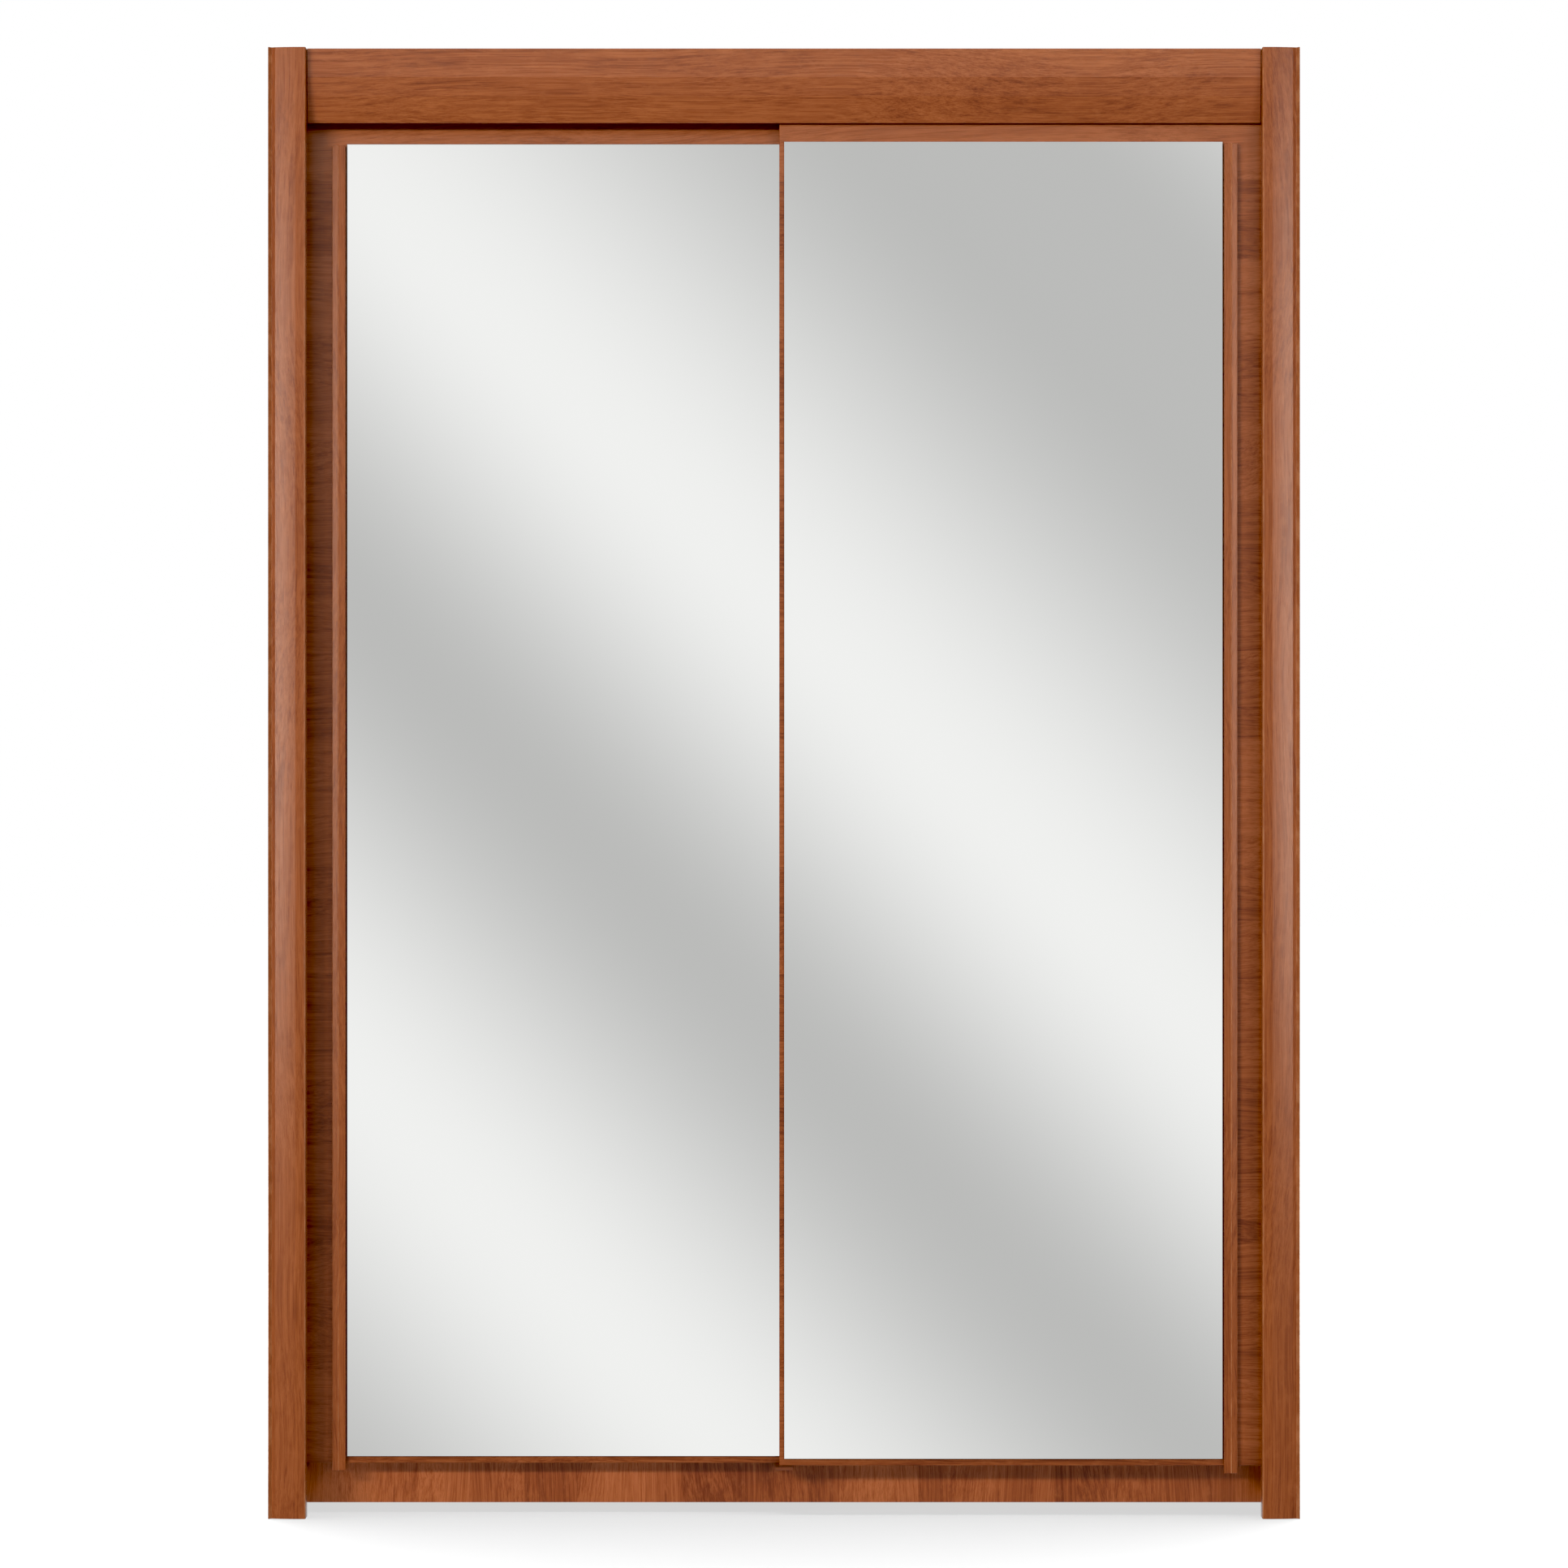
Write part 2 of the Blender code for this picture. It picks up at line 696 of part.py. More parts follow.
def door_mirror(name, side, door_y, finish, parent):
    near, far = sorted((side * mirror_inner_x, side * mirror_outer_x))
    low = (near, door_y - FIT - MIRROR_THICKNESS, mirror_bottom_z)
    board(f"{name}_mirror", finish, low, (far, door_y - FIT, mirror_top_z), parent)


def door_grip(name, side, door_y, finish, parent):
    """A ridged strip beside the mirror, to push the door by."""
    base, ridge, shoulder = door_y - FIT, door_y - GRIP_PROUD, door_y - GRIP_SHOULDER
    ridge_x = grip_outer_x - GRIP_RIDGE
    outline = [
        (grip_inner_x, base),
        (grip_inner_x, shoulder),
        (ridge_x - GRIP_RIDGE_FLAT / 2, ridge),
        (ridge_x + GRIP_RIDGE_FLAT / 2, ridge),
        (grip_outer_x, shoulder),
        (grip_outer_x, base),
    ]
    bm = bmesh.new()
    add_prism(bm, [(side * x, y) for x, y in outline], "Z", grip_bottom_z, grip_top_z)
    add_piece(f"{name}_grip", bm, finish, parent)


def door_hanger(name, x, door_y, finish, parent):
    """A steel plate on the door's back that rises through the track's slot to carry a wheelset."""
    near = door_y + DOOR_THICKNESS + FIT
    half, neck = HANGER_WIDTH / 2, HANGER_NECK / 2
    low, shoulder = door_top_z - HANGER_DROP, door_top_z - HANGER_SHOULDER
    outline = [(x - half, low), (x + half, low), (x + half, shoulder - (half - neck))]
    outline += [(x + neck, shoulder)]
    outline += arc((x, axle_z), neck, 0, 180)
    outline += [(x - neck, shoulder), (x - half, shoulder - (half - neck))]
    bm = bmesh.new()
    add_prism(bm, outline, "Y", near, near + HANGER_THICKNESS)
    hanger = add_piece(name, bm, finish, parent)
    bore = AXLE_RADIUS + AXLE_CLEARANCE
    drill(hanger, [((x, near, axle_z), (0, 1, 0), bore, HANGER_THICKNESS + bore)], ROUND_SIDES)


def wheelset(name, x, lane_y, finish, parent):
    """Two rollers on one axle, one each side of the hanger that the axle turns in."""
    near = HANGER_THICKNESS / 2 + WHEEL_GAP
    far = near + WHEEL_WIDTH
    half = [
        (AXLE_RADIUS, near),
        (WHEEL_RADIUS - WHEEL_BEVEL, near),
        (WHEEL_RADIUS, near + WHEEL_BEVEL),
        (WHEEL_RADIUS, far - WHEEL_BEVEL),
        (WHEEL_RADIUS - WHEEL_BEVEL, far),
        (AXLE_HEAD_RADIUS, far),
        (AXLE_HEAD_RADIUS, far + AXLE_HEAD),
        (0.0, far + AXLE_HEAD),
    ]
    profile = [(radius, -height) for radius, height in reversed(half)] + half
    place = (x, lane_y, axle_z)
    bm = bmesh.new()
    add_turned(bm, profile, place, (0, 1, 0), sides=ROUND_SIDES)
    add_piece(name, bm, finish, parent, origin=place)


def door(name, side, door_y, lane_y, finishes):
    """One sliding door. Its empty stands where the slide starts, at the door's outer lower corner."""
    slide = bpy.data.objects.new(f"{name}_slide", None)
    slide.location = (side * door_end_x, door_y, DOOR_BOTTOM)
    slide.empty_display_size = GRIP_OUTER_MARGIN
    bpy.context.scene.collection.objects.link(slide)
    door_panel(name, side, door_y, finishes["door foil"], slide)
    door_mirror(name, side, door_y, finishes["mirror"], slide)
    door_grip(name, side, door_y, finishes["frame foil"], slide)
    for end, x in (("outer", side * outer_hanger_x), ("inner", side * inner_hanger_x)):
        door_hanger(f"{name}_hanger_{end}", x, door_y, finishes["zinc steel"], slide)
        wheelset(f"{name}_wheelset_{end}", x, lane_y, finishes["white nylon"], slide)
    track_stops(name, side, lane_y, finishes["dark plastic"])


# ---- The whole wardrobe ----


def main():
    for item in list(bpy.data.objects):
        bpy.data.objects.remove(item, do_unlink=True)
    finishes = {
        "frame foil": material("frame foil", (0.30, 0.11, 0.055), 0.38),
        "fascia foil": material("fascia foil", (0.32, 0.12, 0.06), 0.40),
        "side foil": material("side foil", (0.27, 0.10, 0.05), 0.42),
        "door foil": material("door foil", (0.33, 0.12, 0.06), 0.42),
        "plinth foil": material("plinth foil", (0.21, 0.05, 0.015), 0.45),
        "inside foil": material("inside foil", (0.36, 0.20, 0.12), 0.50),
        "back board": material("back board", (0.38, 0.26, 0.17), 0.75),
        "mirror": material("mirror", (0.90, 0.92, 0.91), 0.02, 1.0),
        "zinc steel": material("zinc steel", (0.62, 0.62, 0.60), 0.35, 1.0),
        "chromed steel": material("chromed steel", (0.80, 0.80, 0.81), 0.12, 1.0),
        "aluminium": material("aluminium", (0.76, 0.76, 0.77), 0.32, 1.0),
        "white nylon": material("white nylon", (0.80, 0.79, 0.75), 0.45),
        "dark plastic": material("dark plastic", (0.05, 0.035, 0.03), 0.50),
    }
    carcass(finishes)
    front_frame(finishes)
    bays(finishes)
    top_track(finishes["aluminium"])
    floor_guides(finishes["dark plastic"])
    door("door_left", -1, rear_door_y, rear_lane_y, finishes)
    door("door_right", 1, front_door_y, front_lane_y, finishes)


main()
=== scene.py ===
"""Looks of a two-door sliding wardrobe in walnut foil with mirrored doors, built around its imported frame."""

import math

import bpy
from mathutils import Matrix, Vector


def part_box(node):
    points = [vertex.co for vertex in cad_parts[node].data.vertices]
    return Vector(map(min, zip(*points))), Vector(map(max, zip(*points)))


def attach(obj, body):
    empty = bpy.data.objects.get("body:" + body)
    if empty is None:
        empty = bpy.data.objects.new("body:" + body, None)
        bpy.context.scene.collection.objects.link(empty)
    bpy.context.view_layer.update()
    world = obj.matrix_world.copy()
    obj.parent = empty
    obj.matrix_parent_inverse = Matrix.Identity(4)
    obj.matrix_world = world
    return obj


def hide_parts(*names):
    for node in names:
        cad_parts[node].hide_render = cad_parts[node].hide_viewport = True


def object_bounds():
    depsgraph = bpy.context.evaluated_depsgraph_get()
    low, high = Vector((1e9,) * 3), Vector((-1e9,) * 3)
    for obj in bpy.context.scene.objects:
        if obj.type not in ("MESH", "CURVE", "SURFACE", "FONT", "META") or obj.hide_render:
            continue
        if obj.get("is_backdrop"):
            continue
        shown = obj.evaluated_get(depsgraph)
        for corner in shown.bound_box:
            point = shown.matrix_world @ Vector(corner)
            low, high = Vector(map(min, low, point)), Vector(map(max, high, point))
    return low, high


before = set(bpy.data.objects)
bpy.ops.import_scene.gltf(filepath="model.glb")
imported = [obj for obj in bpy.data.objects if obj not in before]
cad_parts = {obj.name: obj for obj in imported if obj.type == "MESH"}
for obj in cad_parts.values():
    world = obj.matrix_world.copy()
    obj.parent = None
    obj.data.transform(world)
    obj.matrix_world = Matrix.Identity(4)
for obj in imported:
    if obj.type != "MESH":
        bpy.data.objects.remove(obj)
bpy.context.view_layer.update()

SIDES = {"left": -1, "right": 1}

# ---- Side panels ----
# Two upright 16 mm chipboard boards, foiled walnut outside and linen print inside, raw at the ends
# and the rear edge. A saw groove near the rear edge takes the back, and drilled holes take the
# shelf pins.


def start_on(piece):
    """Leaves only this piece selected and active."""
    bpy.ops.object.select_all(action="DESELECT")
    piece.select_set(True)
    bpy.context.view_layer.objects.active = piece


def named(name):
    """Names the shape that was just added and puts its place into its mesh."""
    piece = bpy.context.object
    piece.name = piece.data.name = name
    bpy.ops.object.transform_apply(location=True, rotation=True, scale=True)
    return piece


def blank(name, low, high):
    """A sawn blank between two corners."""
    low, high = Vector(low), Vector(high)
    bpy.ops.object.select_all(action="DESELECT")
    bpy.ops.mesh.primitive_cube_add(size=1.0, location=(low + high) / 2, scale=high - low)
    return named(name)


AXIS_TURNS = {"X": (0.0, math.pi / 2, 0.0), "Y": (math.pi / 2, 0.0, 0.0), "Z": (0.0, 0.0, 0.0)}


def rod(name, middle, axis, radius, length, sides=32):
    """A round bar along an axis."""
    bpy.ops.object.select_all(action="DESELECT")
    bpy.ops.mesh.primitive_cylinder_add(
        vertices=sides, radius=radius, depth=length, location=middle, rotation=AXIS_TURNS[axis]
    )
    return named(name)


def apply_tool(piece, kind, **settings):
    """Adds a modifier, sets it and applies it."""
    tool = piece.modifiers.new(kind.lower(), kind)
    for setting, value in settings.items():
        setattr(tool, setting, value)
    start_on(piece)
    bpy.ops.object.modifier_apply(modifier=tool.name)


def cut_away(piece, cutter):
    """Takes the cutter out of the piece. The cutter is then gone."""
    apply_tool(piece, "BOOLEAN", operation="DIFFERENCE", object=cutter)
    bpy.data.objects.remove(cutter)


def ease(piece, width, steps=2):
    """Rounds the sharp edges and leaves the flats flat."""
    start_on(piece)
    bpy.ops.object.shade_smooth()
    apply_tool(
        piece,
        "BEVEL",
        width=width,
        segments=steps,
        limit_method="ANGLE",
        angle_limit=math.radians(30),
        use_clamp_overlap=True,
        harden_normals=True,
    )


def pick_faces(piece, test):
    """Enters edit mode with the faces selected whose middle and normal pass the test."""
    start_on(piece)
    bpy.ops.object.mode_set(mode="EDIT")
    bpy.ops.mesh.select_mode(type="FACE")
    bpy.ops.mesh.select_all(action="DESELECT")
    bpy.ops.object.mode_set(mode="OBJECT")
    for face in piece.data.polygons:
        face.select = test(face.center, face.normal)
    bpy.ops.object.mode_set(mode="EDIT")


def dress(piece, finish, test=None):
    """Gives a piece its finish, or only the faces whose middle and normal pass the test."""
    piece.data.materials.append(finish)
    if test is None:
        return
    pick_faces(piece, test)
    piece.active_material_index = len(piece.data.materials) - 1
    bpy.ops.object.material_slot_assign()
    bpy.ops.object.mode_set(mode="OBJECT")


def stand_for(piece, body, slot, *nodes):
    """Hands a finished piece over to the frame."""
    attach(piece, body)
    if nodes:
        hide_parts(*nodes)


def tint(red, green, blue):
    """A colour given as it looks, from 0 to 255, in the linear values that a shader takes."""
    shares = [value / 255 for value in (red, green, blue)]
    return (*[v / 12.92 if v <= 0.04045 else ((v + 0.055) / 1.055) ** 2.4 for v in shares], 1.0)


def wire(tree, kind, inputs, **settings):
    """Adds a node, sets it, and sets or joins its inputs. Returns the node."""
    made = tree.nodes.new(kind)
    for setting, value in settings.items():
        setattr(made, setting, value)
    for socket, value in inputs.items():
        if isinstance(value, bpy.types.NodeSocket):
            tree.links.new(value, made.inputs[socket])
        else:
            made.inputs[socket].default_value = value
    return made


def sum_of(tree, operation, first, second, third=0.0):
    """One sum of values or sockets."""
    made = wire(tree, "ShaderNodeMath", {0: first, 1: second, 2: third}, operation=operation)
    return made.outputs[0]


def blend(tree, share, first, second, way="MIX"):
    """Two colours blended."""
    colours = {0: share, 6: first, 7: second}
    made = wire(tree, "ShaderNodeMix", colours, data_type="RGBA", blend_type=way)
    return made.outputs[2]


def level(tree, value, low, high, out_low=0.0, out_high=1.0):
    """Stretches what lies between low and high to a new range, with soft ends."""
    ends = {"Value": value, 1: low, 2: high, 3: out_low, 4: out_high}
    return wire(tree, "ShaderNodeMapRange", ends, interpolation_type="SMOOTHSTEP").outputs[0]


def finish_named(name, **values):
    """A new material, its node tree and its shader, whose even values are set here."""
    finish = bpy.data.materials.new(name)
    finish.use_nodes = True
    shader = finish.node_tree.nodes["Principled BSDF"]
    for socket, value in values.items():
        shader.inputs[socket.replace("_", " ")].default_value = value
    return finish, finish.node_tree, shader


def noise(tree, place, scales, detail=2.0, roughness=0.5, distortion=0.0):
    """Noise stretched by a scale on each axis, in waves to the metre."""
    moved = wire(tree, "ShaderNodeMapping", {"Vector": place, "Scale": scales}).outputs[0]
    values = {"Vector": moved, "Scale": 1.0, "Detail": detail}
    values |= {"Roughness": roughness, "Distortion": distortion}
    return wire(tree, "ShaderNodeTexNoise", values).outputs[0]


def own_place(tree):
    """The place on the piece itself, in metres."""
    return tree.nodes.new("ShaderNodeTexCoord").outputs["Object"]


def join(tree, shader, colour=None, roughness=None, height=None, lift=0.0002, bump=0.5):
    """Joins colour, roughness and a bump of a given height in metres to a shader."""
    if colour is not None:
        tree.links.new(colour, shader.inputs["Base Color"])
    if roughness is not None:
        tree.links.new(roughness, shader.inputs["Roughness"])
    if height is not None:
        made = wire(tree, "ShaderNodeBump", {"Strength": bump, "Distance": lift, "Height": height})
        tree.links.new(made.outputs[0], shader.inputs["Normal"])


# A light pink that the foil is paled towards on rounded edges: a painted highlight.
painted_edge_highlight = tint(196, 134, 92)
foil_gloss = 0.19
edge_turn = 0.91


def walnut_coat(name, grain, light, middle, dark, staves, painted_edge_light):
    """Printed walnut foil. The grain runs along one axis and drifts a little to the side. staves is
    the axis along which the print changes from stave to stave, each with its own tone and slant.
    The last argument is how far the foil is paled in patches towards a light pink, a painted highlight for
    rounded edges, and made a little rougher."""
    finish, tree, shader = finish_named(name, Specular_IOR_Level=0.35)
    place = own_place(tree)
    grain_axis = "XYZ".index(grain)
    tone = None
    if staves:
        stave_axis = "XYZ".index(staves)
        apart = wire(tree, "ShaderNodeSeparateXYZ", {0: place})
        tones = []
        for width, start in ((0.118, 3.3), (0.079, 7.9)):
            count = sum_of(tree, "MULTIPLY_ADD", apart.outputs[stave_axis], 1 / width, start)
            count = sum_of(tree, "FLOOR", count, 0.0)
            drawn = wire(tree, "ShaderNodeTexWhiteNoise", {"W": count}, noise_dimensions="1D")
            tones.append(drawn.outputs["Value"])
        tone = sum_of(tree, "MULTIPLY_ADD", tones[1], 0.4, sum_of(tree, "MULTIPLY", tones[0], 0.6))
        slant = sum_of(tree, "MULTIPLY_ADD", tones[1], 0.16, -0.08)
        lean = sum_of(tree, "MULTIPLY", slant, apart.outputs[grain_axis])
        lean = sum_of(tree, "MULTIPLY_ADD", tone, 9.0, lean)
        moved = wire(tree, "ShaderNodeCombineXYZ", {stave_axis: lean}).outputs[0]
        place = wire(tree, "ShaderNodeVectorMath", {0: place, 1: moved}, operation="ADD").outputs[0]

    def layer(start, along, across, **settings):
        scales = [across] * 3
        scales[grain_axis] = along
        return noise(tree, start, scales, **settings)

    drift = sum_of(tree, "MULTIPLY_ADD", layer(place, 1.3, 3.5, detail=1.0), 0.16, -0.08)
    place = wire(tree, "ShaderNodeVectorMath", {0: place, 1: drift}, operation="ADD").outputs[0]
    figure = layer(place, 0.8, 12.0, detail=2.0, roughness=0.45, distortion=0.5)
    rings = sum_of(tree, "PINGPONG", sum_of(tree, "MULTIPLY", figure, 13.0), 0.5)
    rings = level(tree, rings, 0.0, 0.2, 1.0, 0.0)
    streaks = layer(place, 1.8, 240.0, detail=4.0, roughness=0.66)
    hairs = layer(place, 7.0, 800.0, detail=3.0, roughness=0.7)
    pores = level(tree, layer(place, 45.0, 1500.0, detail=1.0), 0.60, 0.70)
    fleck = level(tree, layer(place, 34.0, 75.0, detail=3.0, roughness=0.7), 0.5, 0.72)

    share = sum_of(tree, "MULTIPLY_ADD", level(tree, figure, 0.3, 0.7), 0.24, -0.06)
    share = sum_of(tree, "MULTIPLY_ADD", rings, 0.16, share)
    share = sum_of(tree, "MULTIPLY_ADD", level(tree, streaks, 0.38, 0.62), 0.34, share)
    share = sum_of(tree, "MULTIPLY_ADD", level(tree, hairs, 0.4, 0.6), 0.40, share)
    if tone is not None:
        share = sum_of(tree, "ADD", share, sum_of(tree, "MULTIPLY_ADD", tone, 0.7, -0.35))
    ramp = wire(tree, "ShaderNodeValToRGB", {0: share})
    ramp.color_ramp.elements[0].color = light
    ramp.color_ramp.elements[1].color = dark
    ramp.color_ramp.elements.new(0.48).color = middle
    colour = blend(tree, sum_of(tree, "MULTIPLY", pores, 0.4), ramp.outputs[0], dark)
    colour = blend(tree, sum_of(tree, "MULTIPLY", fleck, 0.4), colour, light)
    # Paled in patches towards a light pink: a painted highlight on the rounded edges.
    if painted_edge_light:
        patches = level(tree, noise(tree, place, [31.0] * 3, detail=4.0, roughness=0.7), 0.42, 0.66)
        paled = sum_of(tree, "MULTIPLY_ADD", patches, painted_edge_light, painted_edge_light / 2)
        colour = blend(tree, paled, colour, painted_edge_highlight)
    rough = sum_of(tree, "MULTIPLY_ADD", hairs, 0.1, foil_gloss + painted_edge_light / 4)
    join(tree, shader, colour, rough, sum_of(tree, "SUBTRACT", hairs, pores), lift=0.00008, bump=0.3)
    return finish


def walnut_foil(name, grain, light, middle, dark, staves=None):
    """The foil of a flat, and the same foil paled in patches for its rounded edges, a painted highlight."""
    flat = walnut_coat(name, grain, light, middle, dark, staves, 0.0)
    return flat, walnut_coat(f"{name}_rubbed", grain, light, middle, dark, staves, 0.4)


def wrap(piece, foil):
    """Dresses a piece in its foil, with the paled foil, a painted highlight, on the rounded edges."""
    dress(piece, foil[0])
    dress(piece, foil[1], lambda middle, normal: max(abs(part) for part in normal) < edge_turn)


def linen_foil(name, ground, thread):
    """A print of fine woven linen on the boards inside."""
    finish, tree, shader = finish_named(name)
    place = own_place(tree)
    slubs = noise(tree, place, (16.0, 620.0, 620.0), detail=2.0)
    drops = noise(tree, place, (620.0, 620.0, 16.0), detail=2.0)
    cloth = sum_of(tree, "MULTIPLY", sum_of(tree, "ADD", slubs, drops), 0.5)
    wash = noise(tree, place, (5.0, 5.0, 5.0), detail=2.0)
    share = sum_of(tree, "MULTIPLY_ADD", level(tree, wash, 0.3, 0.7), 0.25, level(tree, cloth, 0.36, 0.62))
    colour = blend(tree, sum_of(tree, "MULTIPLY", share, 0.75), ground, thread)
    rough = sum_of(tree, "MULTIPLY_ADD", cloth, 0.2, 0.42)
    join(tree, shader, colour, rough, cloth, lift=0.00008, bump=0.4)
    return finish


def raw_chipboard(name):
    """The sawn core: pale and brown flakes pressed together."""
    finish, tree, shader = finish_named(name, Roughness=0.86)
    place = own_place(tree)
    cells = {"Vector": place, "Scale": 420.0, "Randomness": 1.0}
    flakes = wire(tree, "ShaderNodeTexVoronoi", cells)
    shade = wire(tree, "ShaderNodeSeparateColor", {0: flakes.outputs["Color"]}).outputs[0]
    dust = noise(tree, place, [900.0] * 3, detail=2.0)
    colour = blend(tree, shade, tint(201, 170, 126), tint(139, 104, 68))
    colour = blend(tree, level(tree, dust, 0.55, 0.75), colour, tint(98, 70, 45))
    join(tree, shader, colour, None, shade, lift=0.0004, bump=0.6)
    return finish


side_walnut = (tint(164, 92, 52), tint(144, 75, 38), tint(112, 51, 22))
side_foil = walnut_foil("walnut_foil_sides", "Z", *side_walnut)
inside_foil = linen_foil("linen_foil_inside", tint(214, 203, 186), tint(184, 170, 150))
chipboard = raw_chipboard("raw_chipboard")

back_low, back_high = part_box("back_panel_left")
groove_room = 0.0003
board_ease = 0.0006
board = 0.016
pin_hole = 0.0028
pin_hole_depth = 0.0073
pin_pitch = 0.032
pins = [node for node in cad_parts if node.startswith("shelf_pin")]


def pin_drills(face_x, way, own_pins):
    """Drills for three rows of pin holes in one board face, the middle row where the pins are."""
    made = []
    for pin in own_pins:
        low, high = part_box(pin)
        for row in (-1, 0, 1):
            middle = (low + high) / 2 + Vector((0.0, 0.0, row * pin_pitch))
            middle.x = face_x + way * pin_hole_depth / 2
            made.append(rod("drill", middle, "X", pin_hole, pin_hole_depth, sides=16))
    return made


for name, side in SIDES.items():
    node = f"side_panel_{name}"
    low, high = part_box(node)
    inner_x = low.x if side > 0 else high.x
    panel = blank(f"side_board_{name}", low, high)
    groove_x = (back_low.x if side < 0 else -back_low.x) + side * groove_room
    rear = inner_x - side * board
    groove_low = (min(rear, groove_x), back_low.y - groove_room, low.z - board)
    groove_high = (max(rear, groove_x), back_high.y + groove_room, high.z + board)
    cut_away(panel, blank("saw", groove_low, groove_high))
    for drill in pin_drills(inner_x, side, [pin for pin in pins if f"{name}_outer" in pin]):
        cut_away(panel, drill)
    ease(panel, board_ease)
    dress(panel, inside_foil)
    dress(panel, side_foil[0], lambda middle, normal: normal.x * side > 0.5)
    # The outer face's rounded edges get the paled foil: a painted highlight.
    dress(panel, side_foil[1], lambda middle, normal: edge_turn > normal.x * side > 0.2)
    dress(panel, chipboard, lambda middle, normal: abs(normal.z) > 0.7 or normal.y > 0.7)
    stand_for(panel, "carcass", "walnut_side", node)

# ---- Plinth ----
# A foiled chipboard board set back under the doors, with the print's staves side by side and the
# grain upright, and two plain boards behind it that carry the bottom panel.

plinth_foil = walnut_foil(
    "walnut_foil_plinth", "Z", tint(170, 96, 54), tint(143, 73, 36), tint(104, 45, 16), staves="X"
)
for node in ("plinth_front", "plinth_rear", "plinth_rib"):
    low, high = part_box(node)
    rail = blank(f"{node}_board", low, high)
    ease(rail, board_ease)
    wrap(rail, plinth_foil)
    dress(rail, chipboard, lambda middle, normal: abs(normal.z) > 0.7)
    stand_for(rail, "carcass", "walnut_plinth", node)

# ---- Bottom panel, top panel and partition ----
# Linen-print chipboard with a thin plastic band glued along the front edge. The top panel is drawn
# to the sides by cams, whose discs show from above.

band_foil = walnut_foil("walnut_edge_band", "X", *side_walnut)
band_upright = walnut_foil("walnut_edge_band_upright", "Z", *side_walnut)
band_thickness = 0.0008


def saw_line(piece, place, normal):
    """Scores a line all round a piece, where something thin is glued on or the shape turns."""
    start_on(piece)
    bpy.ops.object.mode_set(mode="EDIT")
    bpy.ops.mesh.select_all(action="SELECT")
    bpy.ops.mesh.bisect(plane_co=place, plane_no=normal)
    bpy.ops.object.mode_set(mode="OBJECT")


def banded_board(name, node, band, drills=()):
    """A linen-print board with a band glued along its front edge."""
    low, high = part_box(node)
    piece = blank(name, low, high)
    for drill in drills:
        cut_away(piece, drill)
    saw_line(piece, (0.0, low.y + band_thickness, 0.0), (0.0, 1.0, 0.0))
    ease(piece, board_ease)
    dress(piece, inside_foil)
    dress(piece, band[0], lambda middle, normal: middle.y < low.y + band_thickness)
    # The band's rounded edges get the paled foil: a painted highlight.
    dress(piece, band[1], lambda middle, normal: middle.y < low.y + band_thickness and normal.y > -edge_turn)
    dress(piece, chipboard, lambda middle, normal: normal.y > 0.7)
    stand_for(piece, "carcass", "inside_board", node)


banded_board("bottom_board", "bottom_panel", band_foil)
banded_board("top_board", "top_panel", band_foil)
low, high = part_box("centre_partition")
partition_drills = pin_drills(low.x, 1, [pin for pin in pins if "left_inner" in pin])
partition_drills += pin_drills(high.x, -1, [pin for pin in pins if "right_inner" in pin])
banded_board("partition_board", "centre_partition", band_upright, partition_drills)


def metal(name, colour, roughness, grain=(0.0, 0.0, 0.0), stain=0.25):
    """A metal with fine lines along the axis where the grain's scale is small, and dull clouds."""
    finish, tree, shader = finish_named(name, Metallic=1.0)
    place = own_place(tree)
    lines = noise(tree, place, grain, detail=2.0)
    clouds = noise(tree, place, [90.0] * 3, detail=3.0, roughness=0.6)
    darker = tuple(value * (1 - stain) for value in colour[:3]) + (1.0,)
    shade = blend(tree, level(tree, clouds, 0.35, 0.7), colour, darker)
    rough = sum_of(tree, "MULTIPLY_ADD", clouds, 0.16, roughness - 0.08)
    join(tree, shader, shade, rough, lines, lift=0.00005, bump=0.3)
    return finish


def moulded_plastic(name, colour, roughness):
    """Plastic with a fine grit and slightly darker patches."""
    finish, tree, shader = finish_named(name, IOR=1.49)
    grit = noise(tree, own_place(tree), [1100.0] * 3, detail=2.0)
    patches = noise(tree, own_place(tree), [60.0] * 3, detail=2.0)
    darker = tuple(value * 0.7 for value in colour[:3]) + (1.0,)
    shade = blend(tree, level(tree, patches, 0.3, 0.7), colour, darker)
    rough = sum_of(tree, "MULTIPLY_ADD", grit, 0.15, roughness - 0.07)
    join(tree, shader, shade, rough, grit, lift=0.00005)
    return finish


zinc = metal("bright_zinc", tint(196, 200, 204), 0.34, (300.0, 300.0, 300.0))
dark_plastic = moulded_plastic("dark_plastic", tint(44, 40, 38), 0.45)

SCREW_TURNS = {
    (0, 0, 1): (0.0, 0.0, 0.0),
    (0, 0, -1): (math.pi, 0.0, 0.0),
    (0, 1, 0): (-math.pi / 2, 0.0, 0.0),
    (0, -1, 0): (math.pi / 2, 0.0, 0.0),
    (1, 0, 0): (0.0, math.pi / 2, 0.0),
    (-1, 0, 0): (0.0, -math.pi / 2, 0.0),
}


def disc(name, radius, height, crown, sides=24):
    """A round head at the world's middle, facing up, its rim rounded off."""
    piece = rod(name, (0.0, 0.0, height / 2), "Z", radius, height, sides)
    pick_faces(piece, lambda middle, normal: normal.z > 0.9)
    bpy.ops.mesh.inset(thickness=radius * 0.3, depth=crown)
    bpy.ops.mesh.inset(thickness=radius * 0.3, depth=crown * 0.4)
    bpy.ops.object.mode_set(mode="OBJECT")
    return piece


def cross_slot(piece, length, width, depth, top):
    """Cuts a cross recess into a head that faces up."""
    for long_x, long_y in ((length, width), (width, length)):
        size = Vector((long_x / 2, long_y / 2, depth))
        cut_away(piece, blank("bit", Vector((0, 0, top)) - size, Vector((0, 0, top)) + size))


